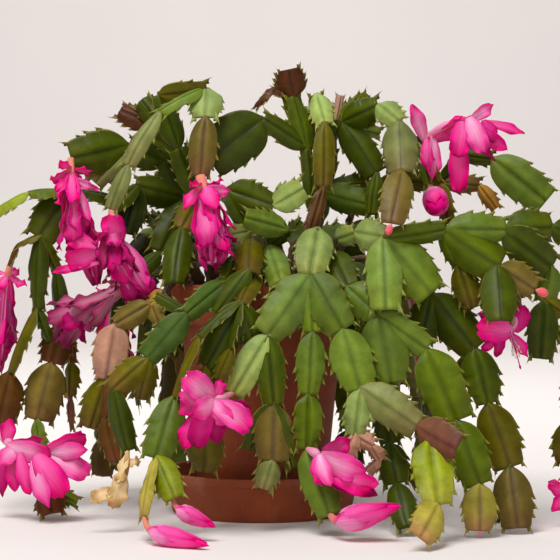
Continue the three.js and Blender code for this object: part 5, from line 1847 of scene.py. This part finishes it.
class CACTUS_OT_stage(bpy.types.Operator):
    """Makes the paper sweep, the soft studio lights and the camera"""

    bl_idname = "cactus.stage"
    bl_label = "Stage"

    def execute(self, context):
        stage = context.scene.cactus_stage
        turns = np.linspace(0, math.pi / 2, PAPER_BEND_STEPS)
        behind = PAPER_BEND_START + PAPER_BEND_RADIUS * np.sin(turns)
        heights = PAPER_BEND_RADIUS * (1 - np.cos(turns))
        line = [(PAPER_FRONT, 0.0), (0.0, 0.0), *zip(behind, heights), (behind[-1], PAPER_TOP)]
        points = [(x, y, z) for y, z in line for x in (-PAPER_HALF_WIDTH, PAPER_HALF_WIDTH)]
        faces = [(2 * i, 2 * i + 1, 2 * i + 3, 2 * i + 2) for i in range(len(line) - 1)]
        mesh = bpy.data.meshes.new("paper_sweep")
        mesh.from_pydata(points, [], faces)
        mesh.polygons.foreach_set("use_smooth", [True] * len(faces))
        mesh.materials.append(studio_paper(stage))
        sweep = bpy.data.objects.new("paper_sweep", mesh)
        context.scene.collection.objects.link(sweep)

        world = bpy.data.worlds.new("studio")
        world.use_nodes = True
        sky = world.node_tree.nodes["Background"]
        sky.inputs["Color"].default_value = (*linear(SKY_COLOUR), 1)
        sky.inputs["Strength"].default_value = stage.sky_strength
        context.scene.world = world
        # The Standard transform keeps the petals' strong magenta, which the default one dulls.
        context.scene.view_settings.view_transform = "Standard"
        for name, place, size, target in LIGHTS:
            lamp = bpy.data.lights.new(name + "_light", "AREA")
            lamp.energy = getattr(stage, name + "_power")
            lamp.size = size
            light = bpy.data.objects.new(name + "_light", lamp)
            light.location = place
            light.rotation_euler = aimed(place, target)
            context.scene.collection.objects.link(light)

        lens = bpy.data.cameras.new("camera")
        lens.sensor_width = SENSOR_WIDTH
        lens.lens = SENSOR_WIDTH * EYE_DISTANCE * MM / VIEW_WIDTH
        camera = bpy.data.objects.new("camera", lens)
        camera.location = (0.0, -EYE_DISTANCE * MM, EYE_HEIGHT * MM)
        camera.rotation_euler = aimed(camera.location, VIEW_MIDDLE)
        context.scene.collection.objects.link(camera)
        context.scene.camera = camera
        return {"FINISHED"}


OPERATORS = (
    CACTUS_OT_stage,
    CACTUS_OT_pot,
    CACTUS_OT_soil,
    CACTUS_OT_stems,
    CACTUS_OT_blooms,
    CACTUS_OT_buds,
)


class CACTUS_PT_panel(bpy.types.Panel):
    """Lists the pieces of the potted cactus"""

    bl_idname = "CACTUS_PT_panel"
    bl_label = "Potted Christmas Cactus"
    bl_space_type = "VIEW_3D"
    bl_region_type = "UI"
    bl_category = "Cactus"

    def draw(self, context):
        layout = self.layout
        for operator in OPERATORS:
            layout.operator(operator.bl_idname)
        for group in (context.scene.cactus_plant, context.scene.cactus_pot, context.scene.cactus_stage):
            box = layout.box()
            for name in group.bl_rna.properties.keys():
                if name not in ("rna_type", "name"):
                    box.prop(group, name)


CLASSES = (CactusPlant, CactusPot, CactusStage, *OPERATORS, CACTUS_PT_panel)


def register():
    for each in CLASSES:
        bpy.utils.register_class(each)
    bpy.types.Scene.cactus_plant = PointerProperty(type=CactusPlant)
    bpy.types.Scene.cactus_pot = PointerProperty(type=CactusPot)
    bpy.types.Scene.cactus_stage = PointerProperty(type=CactusStage)


def unregister():
    del bpy.types.Scene.cactus_plant
    del bpy.types.Scene.cactus_pot
    del bpy.types.Scene.cactus_stage
    for each in reversed(CLASSES):
        bpy.utils.unregister_class(each)


def main():
    register()
    for operator in OPERATORS:
        group, name = operator.bl_idname.split(".")
        getattr(getattr(bpy.ops, group), name)()


if __name__ == "__main__":
    main()
